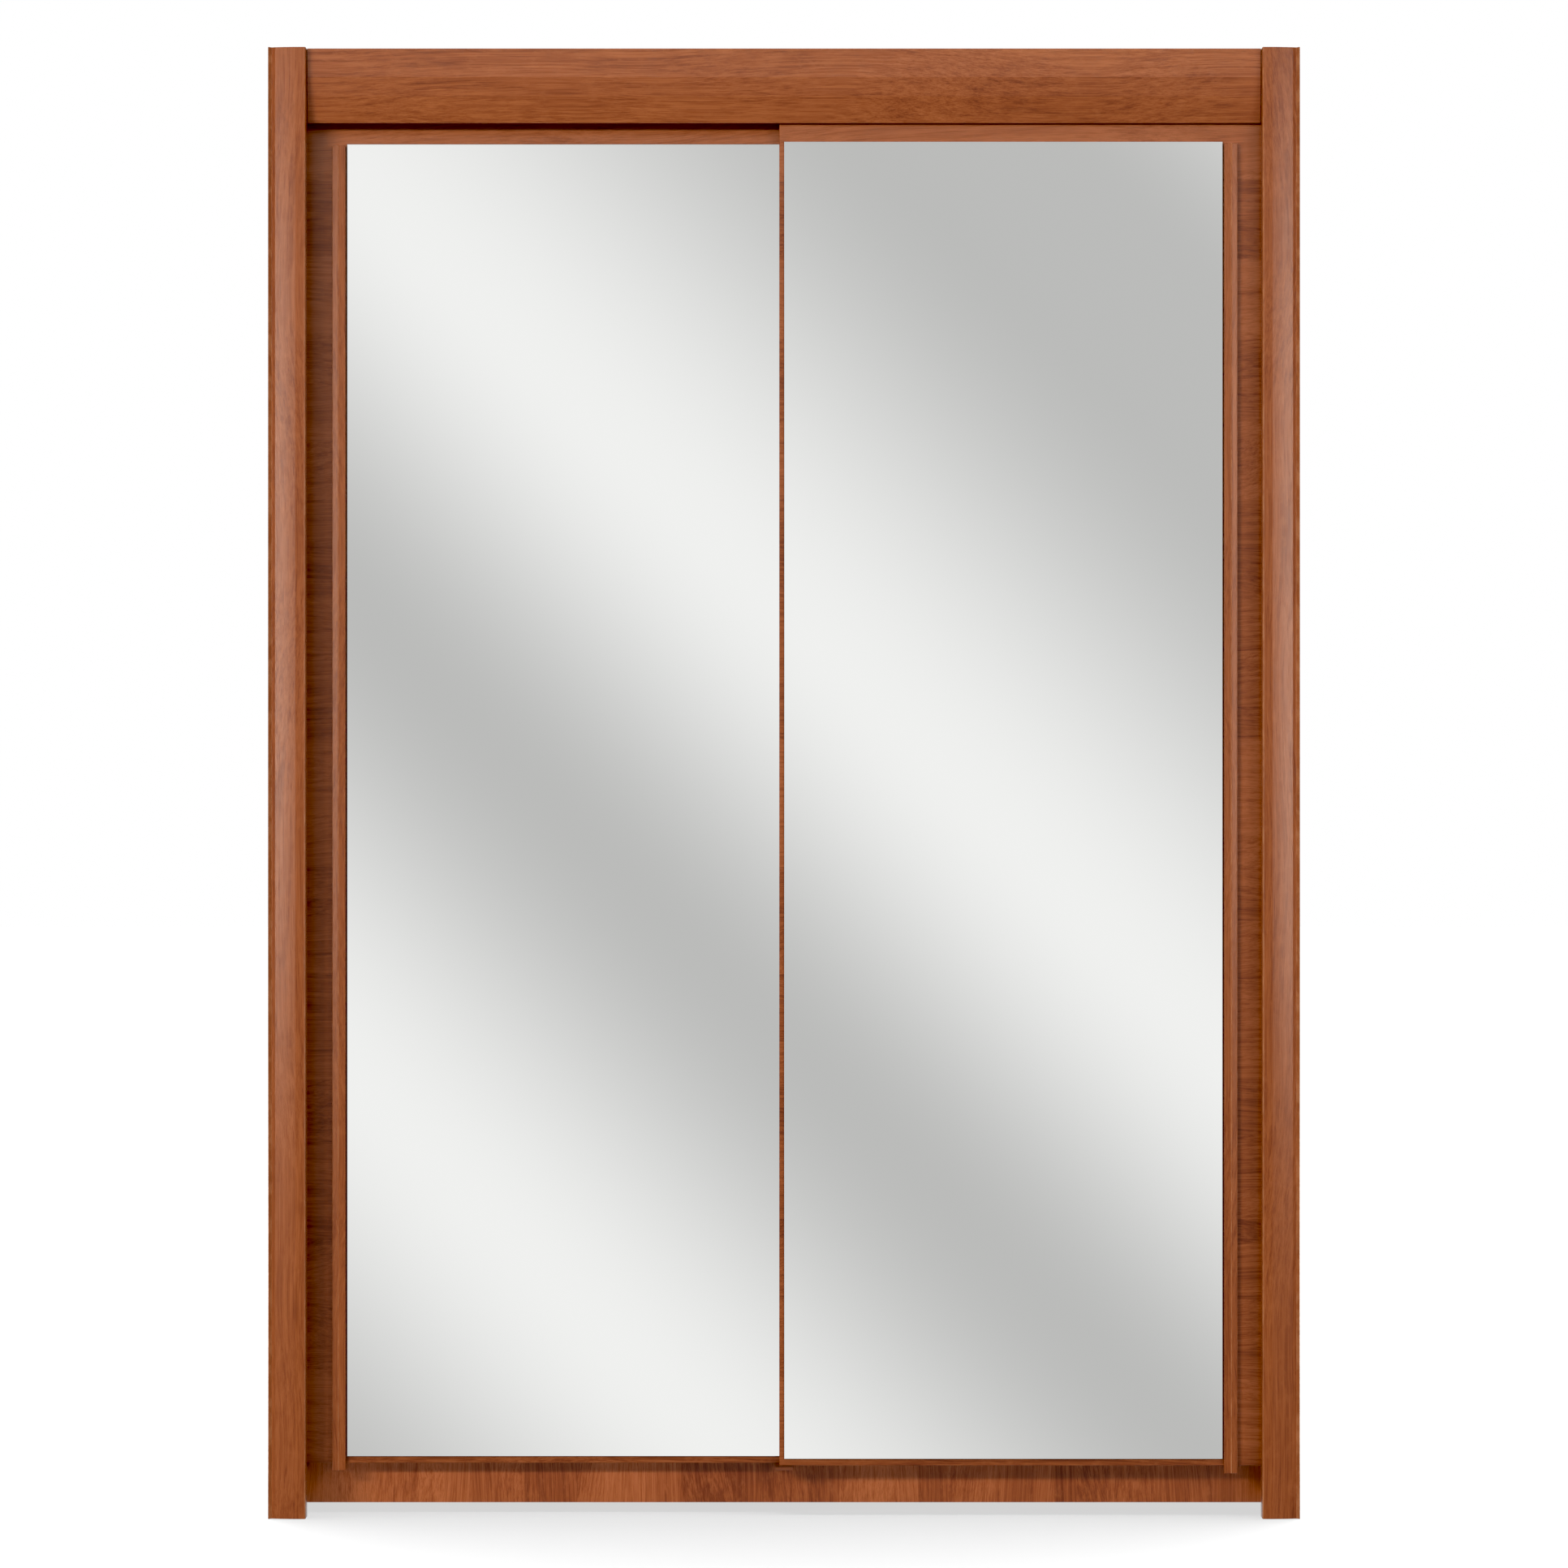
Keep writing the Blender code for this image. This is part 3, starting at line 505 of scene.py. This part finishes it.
def set_in(pattern, name, place, out, body, slot):
    """A copy of a head with its own mesh, set in at a place and facing out of the surface there."""
    piece = bpy.data.objects.new(name, pattern.data.copy())
    bpy.context.scene.collection.objects.link(piece)
    piece.location = place
    piece.rotation_euler = SCREW_TURNS[out]
    start_on(piece)
    bpy.ops.object.transform_apply(location=True, rotation=True, scale=True)
    stand_for(piece, body, slot)


cam_radius = 0.0075
cam_rise = 0.0006
cam = disc("cam_pattern", cam_radius, cam_rise, 0.0001)
cross_slot(cam, 0.0085, 0.0016, 0.0004, 0.0008)
ease(cam, 0.0001, 1)
dress(cam, zinc)
low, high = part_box("top_panel")
cam_inset = 0.034
cam_front = 0.07
cam_rear = 0.05
cam_number = 0
for x in (low.x + cam_inset, -cam_inset, cam_inset, high.x - cam_inset):
    for y in (low.y + cam_front, (low.y + high.y) / 2, high.y - cam_rear):
        cam_number += 1
        set_in(cam, f"top_cam_{cam_number:02d}", (x, y, high.z), (0, 0, 1), "carcass", "zinc_steel")
bpy.data.objects.remove(cam)

# ---- Back ----
# Two sheets of 3 mm hardboard, brown outside and printed inside, slid into the grooves, joined by a
# plastic H strip and nailed to the edges of the top and bottom panels.


def raw_hardboard(name):
    """Pressed brown fibre, with the mark of the screen it was pressed on."""
    finish, tree, shader = finish_named(name, Roughness=0.78)
    place = own_place(tree)
    fibres = noise(tree, place, [260.0] * 3, detail=5.0, roughness=0.7)
    screen = noise(tree, place, (700.0, 700.0, 700.0), detail=1.0)
    clouds = noise(tree, place, [4.0] * 3, detail=3.0, roughness=0.55)
    colour = blend(tree, level(tree, fibres, 0.3, 0.7), tint(150, 112, 76), tint(112, 78, 49))
    colour = blend(tree, level(tree, clouds, 0.3, 0.7, 0.0, 0.4), colour, tint(166, 127, 90))
    join(tree, shader, colour, None, sum_of(tree, "ADD", fibres, screen), lift=0.0002, bump=0.5)
    return finish


hardboard = raw_hardboard("raw_hardboard")
for name, side in SIDES.items():
    node = f"back_panel_{name}"
    sheet = blank(f"back_sheet_{name}", *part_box(node))
    ease(sheet, 0.0003, 1)
    dress(sheet, hardboard)
    dress(sheet, inside_foil, lambda middle, normal: normal.y < -0.7)
    stand_for(sheet, "carcass", "back_board", node)

nail_head = 0.0019
nail_start = 0.045
nail_pitch = 0.104
nails_across = 7
nail = disc("nail_pattern", nail_head, 0.0004, 0.0002, sides=12)
dress(nail, zinc)
low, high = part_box("back_panel_right")
nail_rows = {"bottom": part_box("bottom_panel"), "top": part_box("top_panel")}
for row, (board_low, board_high) in nail_rows.items():
    nail_z = (board_low.z + board_high.z) / 2
    for name, side in SIDES.items():
        for number in range(nails_across):
            x = side * (nail_start + number * nail_pitch)
            place = (x, high.y, nail_z)
            set_in(nail, f"nail_{row}_{name}_{number + 1}", place, (0, 1, 0), "carcass", "zinc_steel")
bpy.data.objects.remove(nail)

# ---- Front frame ----
# Two thick posts and a fascia, moulded fibreboard wrapped in walnut foil. Each post has a flat crown
# beside the doors and falls away in a long curve to its outer edge. The fascia is flat above and
# falls back below.

post_foil = walnut_foil("walnut_foil_posts", "Z", tint(165, 93, 50), tint(147, 77, 37), tint(118, 54, 22))
fascia_foil = walnut_foil("walnut_foil_fascia", "X", tint(170, 97, 53), tint(149, 78, 38), tint(112, 50, 20))
post_crown = 0.015
post_falls = [(0.0, 0.0), (0.007, 0.0006), (0.015, 0.0015), (0.023, 0.0026), (0.030, 0.0038)]
post_falls += [(0.035, 0.0055), (0.0405, 0.008)]
post_creases = (0.0, 0.030)
post_arris = 0.003
fascia_crown = 0.042
fascia_falls = [(0.0, 0.0), (0.014, 0.0013), (0.028, 0.0029), (0.041, 0.0056)]
fascia_falls += [(0.054, 0.0087), (0.066, 0.012)]
fascia_creases = (0.0, 0.028)
frame_ease = 0.0007


def meets(value, place):
    """Whether a corner lies at a place, but for rounding."""
    return abs(value - place) < 1e-5


def pick_edges(piece, test):
    """Enters edit mode with the edges selected whose two ends pass the test."""
    start_on(piece)
    bpy.ops.object.mode_set(mode="EDIT")
    bpy.ops.mesh.select_mode(type="EDGE")
    bpy.ops.mesh.select_all(action="DESELECT")
    bpy.ops.object.mode_set(mode="OBJECT")
    points = piece.data.vertices
    for edge in piece.data.edges:
        edge.select = all(test(points[end].co) for end in edge.vertices)
    bpy.ops.object.mode_set(mode="EDIT")


def mould(piece, axis, start, way, falls, creases):
    """Planes the front face back along an axis. Each fall is how far along from the start and how deep."""
    front = min(vert.co.y for vert in piece.data.vertices)
    line = "XYZ".index(axis)
    across = Vector([float(number == line) for number in range(3)])
    for run, _ in falls[:-1]:
        saw_line(piece, across * (start + way * run), across)
    for run, depth in falls:
        here = start + way * run
        pick_edges(piece, lambda point: meets(point[line], here) and meets(point.y, front))
        bpy.ops.transform.translate(value=(0.0, depth, 0.0))
        if run in creases:
            bpy.ops.mesh.mark_sharp()
        bpy.ops.object.mode_set(mode="OBJECT")


for name, side in SIDES.items():
    node = f"post_{name}"
    low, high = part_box(node)
    inner_x, outer_x = (low.x, high.x) if side > 0 else (high.x, low.x)
    post = blank(f"walnut_post_{name}", low, high)
    mould(post, "X", inner_x + side * post_crown, side, post_falls, post_creases)
    pick_edges(post, lambda point: meets(point.x, inner_x) and meets(point.y, low.y))
    bpy.ops.mesh.bevel(offset=post_arris, segments=4, affect="EDGES")
    bpy.ops.object.mode_set(mode="OBJECT")
    ease(post, frame_ease)
    wrap(post, post_foil)
    dress(post, chipboard, lambda middle, normal: abs(normal.z) > 0.9)
    stand_for(post, "carcass", "walnut_frame", node)

low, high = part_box("fascia")
fascia = blank("walnut_fascia", low, high)
mould(fascia, "Z", high.z - fascia_crown, -1, fascia_falls, fascia_creases)
ease(fascia, frame_ease)
wrap(fascia, fascia_foil)
dress(fascia, chipboard, lambda middle, normal: abs(normal.x) > 0.9)
stand_for(fascia, "carcass", "walnut_fascia", "fascia")

# ---- Angles and screws ----
# Zinc-plated steel angles, which stay as they are in the frame, hold the posts to the sides and the
# fascia to the top board. Pan-head screws go through them every 0.3 m or so.

screw_head = 0.0034
screw_rise = 0.0012
slot_length = 0.0042
slot_width = 0.0008
angle_wall = 0.002
angle_lip = 0.008
post_margin = 0.06
post_stagger = 0.03
post_screws = 7
fascia_margin = 0.05
fascia_stagger = 0.04
fascia_screws = 6
screw = disc("screw_pattern", screw_head, screw_rise, 0.0003, sides=20)
cross_slot(screw, slot_length, slot_width, slot_width, screw_rise + slot_width / 2)
ease(screw, 0.00015, 1)
dress(screw, zinc)


def screws(name, body, out, places):
    """A row of screws, numbered from 1."""
    for number, place in enumerate(places, 1):
        set_in(screw, f"{name}_screw_{number}", place, out, body, "zinc_steel")


def spread(start, end, count):
    """Even steps from start to end, both included."""
    return [start + (end - start) * number / (count - 1) for number in range(count)]


for name, side in SIDES.items():
    low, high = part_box(f"post_angle_{name}")
    inner_x = (low.x if side < 0 else high.x) - side * angle_wall
    toe_x = (low.x + high.x) / 2 - side * angle_wall
    heights = spread(low.z + post_margin, high.z - post_margin, post_screws)
    rows = [(inner_x, high.y - angle_lip, z) for z in heights]
    screws(f"post_angle_{name}_side", "carcass", (-side, 0, 0), rows)
    rows = [(toe_x, low.y + angle_wall, z + post_stagger) for z in heights]
    screws(f"post_angle_{name}_post", "carcass", (0, 1, 0), rows)
low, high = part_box("fascia_angle")
stations = spread(low.x + fascia_margin, high.x - fascia_margin, fascia_screws)
rows = [(x, high.y - angle_lip, low.z + angle_wall) for x in stations]
screws("fascia_angle_top", "carcass", (0, 0, 1), rows)
rows = [(x + fascia_stagger, low.y + angle_wall, high.z - angle_lip) for x in stations]
screws("fascia_angle_front", "carcass", (0, 1, 0), rows)

# ---- Doors ----
# Each door is a 16 mm board in staved walnut foil with the grain across, edged all round. A mirror
# is glued to its front, and a ridged grip stands beside the mirror at the outer edge.

door_foil = walnut_foil(
    "walnut_foil_doors", "X", tint(168, 94, 52), tint(145, 75, 36), tint(108, 47, 18), staves="Z"
)
grip_foil = walnut_foil("walnut_foil_grips", "Z", tint(165, 93, 50), tint(147, 77, 37), tint(118, 54, 22))


def silvered_glass(name):
    """The mirror's face: silver behind clear glass, faintly wavy."""
    finish, tree, shader = finish_named(
        name, Metallic=1.0, Roughness=0.012, Base_Color=(0.945, 0.95, 0.945, 1.0)
    )
    waves = noise(tree, own_place(tree), [1.6] * 3, detail=1.0)
    join(tree, shader, None, None, waves, lift=0.0001, bump=0.15)
    return finish


def ground_glass_edge(name):
    """The dull green edge of the glass."""
    finish, tree, shader = finish_named(name, IOR=1.52)
    place = own_place(tree)
    grind = noise(tree, place, (500.0, 500.0, 500.0), detail=2.0)
    colour = blend(tree, level(tree, grind, 0.3, 0.7), tint(172, 196, 186), tint(120, 152, 140))
    join(tree, shader, colour, sum_of(tree, "MULTIPLY_ADD", grind, 0.2, 0.15), grind, lift=0.0001)
    return finish


silver = silvered_glass("silvered_glass")
glass_edge = ground_glass_edge("ground_glass_edge")
groove_width = 0.006
groove_depth = 0.014
grip_ridge = 0.0084
grip_ridge_flat = 0.0012
grip_shoulder = 0.0108
mirror_arris = 0.0008

for name, side in SIDES.items():
    body = f"door_{name}"
    low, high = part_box(f"door_{name}_panel")
    middle_y = (low.y + high.y) / 2
    leaf = blank(f"walnut_door_{name}", low, high)
    groove_low = (low.x - board, middle_y - groove_width / 2, low.z - board)
    groove_high = (high.x + board, middle_y + groove_width / 2, low.z + groove_depth)
    cut_away(leaf, blank("saw", groove_low, groove_high))
    ease(leaf, 0.0008)
    wrap(leaf, door_foil)
    stand_for(leaf, body, "walnut_door", f"door_{name}_panel")

    low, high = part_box(f"door_{name}_mirror")
    mirror = blank(f"mirror_{name}", low, high)
    ease(mirror, mirror_arris, 1)
    dress(mirror, glass_edge)
    dress(mirror, silver, lambda middle, normal: normal.y < -0.6)
    stand_for(mirror, body, "mirror_glass", f"door_{name}_mirror")

    low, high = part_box(f"door_{name}_grip")
    inner_x, outer_x = (low.x, high.x) if side > 0 else (high.x, low.x)
    ridge_outer = outer_x - side * grip_ridge
    ridge_inner = ridge_outer - side * grip_ridge_flat
    grip = blank(f"walnut_grip_{name}", low, high)
    for ridge_x in (ridge_outer, ridge_inner):
        saw_line(grip, (ridge_x, 0.0, 0.0), (1.0, 0.0, 0.0))
    back = high.y
    for edge_x in (inner_x, outer_x):
        for vert in grip.data.vertices:
            vert.select = meets(vert.co.x, edge_x) and meets(vert.co.y, low.y)
        bpy.ops.object.mode_set(mode="EDIT")
        bpy.ops.mesh.select_mode(type="VERT")
        bpy.ops.transform.translate(value=(0.0, back - grip_shoulder - low.y, 0.0))
        bpy.ops.mesh.select_all(action="DESELECT")
        bpy.ops.object.mode_set(mode="OBJECT")
    ease(grip, 0.0006)
    wrap(grip, grip_foil)
    stand_for(grip, body, "walnut_door", f"door_{name}_grip")

# ---- Inside the bays ----
# A hat shelf on four pins and a chromed hanging rail in flanged sockets in each bay.

chrome = metal("chromed_steel", tint(214, 216, 220), 0.12, (4.0, 400.0, 400.0), stain=0.08)
tube_wall = 0.0012
socket_flange = 0.003
flange_margin = 0.0045
for name, side in SIDES.items():
    banded_board(f"hat_board_{name}", f"hat_shelf_{name}", band_foil)
    low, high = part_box(f"hanging_rail_{name}")
    radius = (high.z - low.z) / 2
    tube = rod(f"rail_tube_{name}", (low + high) / 2, "X", radius, high.x - low.x, sides=48)
    pick_faces(tube, lambda middle, normal: abs(normal.x) > 0.9)
    bpy.ops.mesh.delete(type="FACE")
    bpy.ops.object.mode_set(mode="OBJECT")
    start_on(tube)
    bpy.ops.object.shade_smooth_by_angle(angle=math.radians(30))
    apply_tool(tube, "SOLIDIFY", thickness=tube_wall, offset=-1.0)
    dress(tube, chrome)
    stand_for(tube, "carcass", "chromed_steel", f"hanging_rail_{name}")
    for end, way in (("outer", -side), ("inner", side)):
        low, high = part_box(f"rail_socket_{name}_{end}")
        flange_x = (low.x if way > 0 else high.x) + way * socket_flange
        rows = [(flange_x, (low.y + high.y) / 2, z) for z in (low.z + flange_margin, high.z - flange_margin)]
        screws(f"rail_socket_{name}_{end}", "carcass", (way, 0, 0), rows)

# ---- Hangers and rollers ----
# Two steel plates on each door's back, held by three screws, reach up through the track's slot. Each
# carries two turned nylon rollers on a riveted steel axle.

nylon = moulded_plastic("white_nylon", tint(226, 224, 216), 0.42)
turned_steel = metal("turned_steel", tint(172, 174, 178), 0.3, (500.0, 30.0, 500.0))
roller_radius = 0.011
roller_rim = 0.0016
roller_web = 0.0040
roller_dish = 0.0011
roller_inner = 0.004
roller_outer = 0.011
axle_radius = 0.002
rivet_flare = 1.7
hanger_holes = ((0.0, 0.010), (-0.012, 0.030), (0.012, 0.030))


def roller(name, middle):
    """A roller with a raised hub and a thin rim, dished between them on both faces."""
    wheel = rod(name, middle, "Y", roller_radius, roller_outer - roller_inner, sides=40)
    pick_faces(wheel, lambda middle, normal: abs(normal.y) > 0.9)
    bpy.ops.mesh.inset(thickness=roller_rim)
    bpy.ops.mesh.inset(thickness=0.0006, depth=-roller_dish)
    bpy.ops.mesh.inset(thickness=roller_web)
    bpy.ops.mesh.inset(thickness=0.0005, depth=roller_dish)
    bpy.ops.object.mode_set(mode="OBJECT")
    ease(wheel, 0.0003)
    dress(wheel, nylon)
    return wheel


def riveted_axle(name, middle, half):
    """A pin that stands through the rollers, its ends spread into heads up to half its length out."""
    pin = rod(name, middle, "Y", axle_radius, roller_outer * 2, sides=24)
    for end in (-1, 1):
        pick_faces(pin, lambda middle, normal: normal.y * end > 0.9)
        bpy.ops.mesh.extrude_region_move()
        flare = middle + Vector((0.0, end * roller_outer, 0.0))
        bpy.ops.transform.resize(value=(rivet_flare, 1.0, rivet_flare), center_override=flare)
        rise = (0.0, end * (half - roller_outer), 0.0)
        bpy.ops.mesh.extrude_region_move(TRANSFORM_OT_translate={"value": rise})
        bpy.ops.transform.resize(value=(0.8, 1.0, 0.8), center_override=flare)
        bpy.ops.object.mode_set(mode="OBJECT")
    ease(pin, 0.0002, 1)
    dress(pin, turned_steel)
    return pin


for door in SIDES:
    for end in ("outer", "inner"):
        low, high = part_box(f"door_{door}_hanger_{end}")
        middle_x = (low.x + high.x) / 2
        rows = [(middle_x + x, high.y, low.z + z) for x, z in hanger_holes]
        screws(f"door_{door}_hanger_{end}", f"door_{door}", (0, 1, 0), rows)
        node = f"door_{door}_wheelset_{end}"
        body = f"door_{door}_wheels_{end}"
        low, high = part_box(node)
        middle = (low + high) / 2
        for place, way in (("front", -1), ("rear", 1)):
            offset = way * (roller_inner + roller_outer) / 2
            wheel = roller(f"roller_{door}_{end}_{place}", middle + Vector((0.0, offset, 0.0)))
            stand_for(wheel, body, "white_nylon", node)
        pin = riveted_axle(f"axle_{door}_{end}", middle, (high.y - low.y) / 2)
        stand_for(pin, body, "zinc_steel", node)

# ---- Track and stops ----
# One drawn aluminium extrusion with a lane for each door, screwed up into the top board through its
# lanes, and four moulded buffers that end the rollers' travel.

aluminium = metal("drawn_aluminium", tint(186, 188, 190), 0.36, (3.0, 700.0, 700.0), stain=0.12)
track_wall = 0.002
track_margin = 0.02
lane_screws = 6
buffer_rim = 0.0025
buffer_dish = 0.0008
low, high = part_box("top_track")
for door in SIDES:
    wheel_low, wheel_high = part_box(f"door_{door}_wheelset_inner")
    lane_y = (wheel_low.y + wheel_high.y) / 2
    stations = spread(low.x + track_margin, high.x - track_margin, lane_screws)
    rows = [(x, lane_y, high.z - track_wall) for x in stations]
    screws(f"track_{door}", "carcass", (0, 0, -1), rows)
    for end in ("closed", "open"):
        node = f"door_{door}_stop_{end}"
        stop_low, stop_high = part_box(node)
        buffer = blank(f"buffer_{door}_{end}", stop_low, stop_high)
        pick_faces(buffer, lambda middle, normal: abs(normal.x) > 0.9 or normal.z < -0.9)
        bpy.ops.mesh.inset(thickness=buffer_rim, use_individual=True)
        bpy.ops.mesh.inset(thickness=buffer_dish, depth=-buffer_dish, use_individual=True)
        bpy.ops.object.mode_set(mode="OBJECT")
        ease(buffer, 0.0005)
        dress(buffer, dark_plastic)
        stand_for(buffer, "carcass", "dark_plastic", node)

# ---- Small parts that show as the frame has them ----
# The track, the zinc-plated angles, hangers and shelf pins, the chromed rail sockets, and the
# moulded end guides, glides and joining strip. The centre guide is moulded anew, with fins only
# where a door covers them. Screws hold all three guides.

brown_plastic = moulded_plastic("walnut_brown_plastic", tint(122, 60, 28), 0.6)
guide_plate = 0.004
guide_fin = 0.004
fin_inset = 0.0005
guide_hole_back = 0.010
guide_hole_end = 0.007
low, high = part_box("centre_guide")
guide = blank("moulded_centre_guide", low, (high.x, high.y, low.z + guide_plate))
for door in SIDES:
    door_low, door_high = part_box(f"door_{door}_panel")
    middle_y = (door_low.y + door_high.y) / 2
    fin_low = (max(low.x, door_low.x + fin_inset), middle_y - guide_fin / 2, low.z)
    fin_high = (min(high.x, door_high.x - fin_inset), middle_y + guide_fin / 2, high.z)
    fin = blank("guide_fin", fin_low, fin_high)
    apply_tool(guide, "BOOLEAN", operation="UNION", object=fin)
    bpy.data.objects.remove(fin)
ease(guide, 0.0004)
dress(guide, brown_plastic)
stand_for(guide, "carcass", "dark_plastic", "centre_guide")
for node in ("centre_guide", "end_guide_left", "end_guide_right"):
    low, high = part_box(node)
    ends = (low.x + guide_hole_end, high.x - guide_hole_end)
    rows = [(x, high.y - guide_hole_back, low.z) for x in ends]
    screws(node, "carcass", (0, 0, -1), rows)
bpy.data.objects.remove(screw)
coats = {
    "track": (aluminium, "aluminium_track"),
    "socket": (chrome, "chromed_steel"),
    "hanger": (zinc, "zinc_steel"),
    "angle": (zinc, "zinc_steel"),
    "pin": (zinc, "zinc_steel"),
    "guide": (brown_plastic, "dark_plastic"),
    "strip": (brown_plastic, "dark_plastic"),
    "glide": (dark_plastic, "dark_plastic"),
}
for node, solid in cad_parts.items():
    for word, (coat, slot) in coats.items():
        if word in node and not solid.hide_render:
            solid.data.materials.clear()
            solid.data.materials.append(coat)

# ---- Studio ----
# A white floor and surround. Two long key lights from high up, sheen boxes that only the gloss of
# the foil sees, one low light for the plinth and one overhead for the floor. Behind the camera
# stands a large graded card, which only the mirrors and the gloss see.

bpy.ops.object.select_all(action="DESELECT")
bpy.ops.mesh.primitive_plane_add(size=60.0, location=(0.0, 0.0, 0.0))
floor = bpy.context.object
floor.name = "studio_floor"
floor_paint, tree, shader = finish_named(
    "white_floor_paint",
    Base_Color=(0.09, 0.09, 0.09, 1.0),
    Roughness=0.9,
    Specular_IOR_Level=0.0,
    Emission_Color=(1.0, 1.0, 1.0, 1.0),
)
# The floor glows white by itself, fully from 3 m out and less within 1.2 m of the middle: a painted shade
# round the wardrobe's base.
distance = wire(tree, "ShaderNodeVectorMath", {0: own_place(tree)}, operation="LENGTH").outputs["Value"]
painted_shade_glow = 0.64
glow = level(tree, distance, 1.2, 3.0, painted_shade_glow, 1.0)
tree.links.new(glow, shader.inputs["Emission Strength"])
floor.data.materials.append(floor_paint)
floor.visible_glossy = False
floor.visible_diffuse = False
floor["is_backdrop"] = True

eye_height = 1.0976
eye_distance = 8.325
card_distance = 9.0
stripe_repeat = 6.49
stripe_start = 0.3536
bpy.ops.mesh.primitive_plane_add(
    size=36.0, location=(0.0, -card_distance, eye_height), rotation=(math.pi / 2, 0.0, 0.0)
)
card = named("graded_card")
card_paint = bpy.data.materials.new("graded_card_light")
card_paint.use_nodes = True
tree = card_paint.node_tree
tree.nodes.clear()
sides = wire(tree, "ShaderNodeSeparateXYZ", {0: own_place(tree)})
along = sum_of(tree, "ADD", sides.outputs[0], sides.outputs[2])
along = sum_of(tree, "MULTIPLY_ADD", along, 1 / stripe_repeat, stripe_start - eye_height / stripe_repeat)
stripes = wire(tree, "ShaderNodeValToRGB", {0: sum_of(tree, "FRACT", along, 0.0)})
bright, dull = tint(246, 246, 245), tint(193, 193, 192)
ramp = stripes.color_ramp
ramp.interpolation = "EASE"
ramp.elements[0].color = bright
ramp.elements[1].color = bright
for stop, colour in ((0.228, dull), (0.428, bright), (0.693, dull), (0.781, dull)):
    ramp.elements.new(stop).color = colour
fade = level(tree, sides.outputs[2], -7.0, -1.2, 0.55, 1.0)
lit = wire(tree, "ShaderNodeEmission", {"Color": stripes.outputs[0], "Strength": fade})
out = wire(tree, "ShaderNodeOutputMaterial", {"Surface": lit.outputs[0]})
card.data.materials.append(card_paint)
card.visible_camera = False
card.visible_diffuse = False
card.visible_shadow = False
card.visible_transmission = False
card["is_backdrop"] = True


def soft_box(name, place, aim, width, height, power):
    """A rectangular lamp, aimed at a point and itself unseen."""
    light = bpy.data.lights.new(name, "AREA")
    light.shape = "RECTANGLE"
    light.size, light.size_y = width, height
    light.energy = power
    lamp = bpy.data.objects.new(name, light)
    bpy.context.scene.collection.objects.link(lamp)
    lamp.location = place
    lamp.rotation_euler = (Vector(aim) - Vector(place)).to_track_quat("-Z", "Y").to_euler()
    lamp.visible_camera = False
    return lamp


def light_only(lamp, state, *pieces):
    """Makes the lamp light only these pieces (INCLUDE), or all but them (EXCLUDE)."""
    reach = bpy.data.collections.new(f"{lamp.name}_reach")
    for piece in pieces:
        reach.objects.link(piece)
    for link in reach.collection_objects:
        link.light_linking.link_state = state
    lamp.light_linking.receiver_collection = reach


def sheen_box(name, place, aim, width, height, power):
    """A warm soft box that only the gloss of the foil sees, not the mirrors."""
    strip = soft_box(name, place, aim, width, height, power)
    strip.data.color = (1.0, 0.93, 0.82)
    strip.visible_diffuse = False
    light_only(strip, "EXCLUDE", *[bpy.data.objects[f"mirror_{door}"] for door in SIDES])


for side, power in ((-1, 580.0), (1, 215.0)):
    wash = soft_box("key_soft_box", (side * 4.7, -9.2, 3.15), (side * 0.2, -0.3, 1.5), 3.4, 0.5, power)
    wash.visible_glossy = False
    light_only(wash, "EXCLUDE", floor)
    sheen_box("sheen_soft_box", (side * 2.7, -4.9, 1.5), (side * 0.73, -0.3, 1.3), 0.95, 2.1, 60.0)
sheen_box("upper_sheen_soft_box", (0.0, -9.0, 4.25), (0.0, -0.3, 2.1), 6.0, 2.2, 400.0)
low_wash = soft_box("plinth_soft_box", (0.0, -7.0, 0.5), (0.0, -0.2, 0.05), 4.0, 0.4, 110.0)
low_wash.visible_glossy = False
light_only(low_wash, "INCLUDE", bpy.data.objects["plinth_front_board"])
overhead = soft_box("floor_soft_box", (0.0, 3.0, 6.0), (0.0, 3.0, 0.0), 8.0, 8.0, 6900.0)
overhead.visible_glossy = False
light_only(overhead, "INCLUDE", floor)

world = bpy.data.worlds.new("white_surround")
bpy.context.scene.world = world
world.use_nodes = True
tree = world.node_tree
tree.nodes.clear()
way = tree.nodes.new("ShaderNodeTexCoord").outputs["Generated"]
parts = wire(tree, "ShaderNodeSeparateXYZ", {0: way})
walls = level(tree, parts.outputs[1], -0.9, 0.1, 0.06, 0.5)
walls = sum_of(tree, "ADD", walls, level(tree, parts.outputs[1], -0.1, 0.6, 0.0, 0.25))
above = level(tree, parts.outputs[2], 0.3, 0.95, 0.0, 1.0)
below = level(tree, parts.outputs[2], -0.05, -0.5, 0.0, 0.2)
glow = sum_of(tree, "MULTIPLY_ADD", above, sum_of(tree, "SUBTRACT", 0.9, walls), walls)
glow = sum_of(tree, "MAXIMUM", glow, below)
seen = wire(tree, "ShaderNodeLightPath", {}).outputs["Is Camera Ray"]
strength = sum_of(tree, "MAXIMUM", glow, seen)
surround = wire(tree, "ShaderNodeBackground", {"Color": (1.0, 1.0, 1.0, 1.0), "Strength": strength})
wire(tree, "ShaderNodeOutputWorld", {"Surface": surround.outputs[0]})
view = bpy.context.scene.view_settings
view.view_transform = "Standard"
view.use_curve_mapping = True
view.curve_mapping.black_level = (0.016, 0.016, 0.016)
view.curve_mapping.update()

lens = bpy.data.cameras.new("camera")
lens.sensor_width = 36.0
lens.lens = 125.2
lens.shift_y = -0.0083
camera = bpy.data.objects.new("camera", lens)
bpy.context.scene.collection.objects.link(camera)
camera.location = (0.0, -eye_distance, eye_height)
camera.rotation_euler = (math.pi / 2, 0.0, 0.0)
bpy.context.scene.camera = camera

low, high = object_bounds()
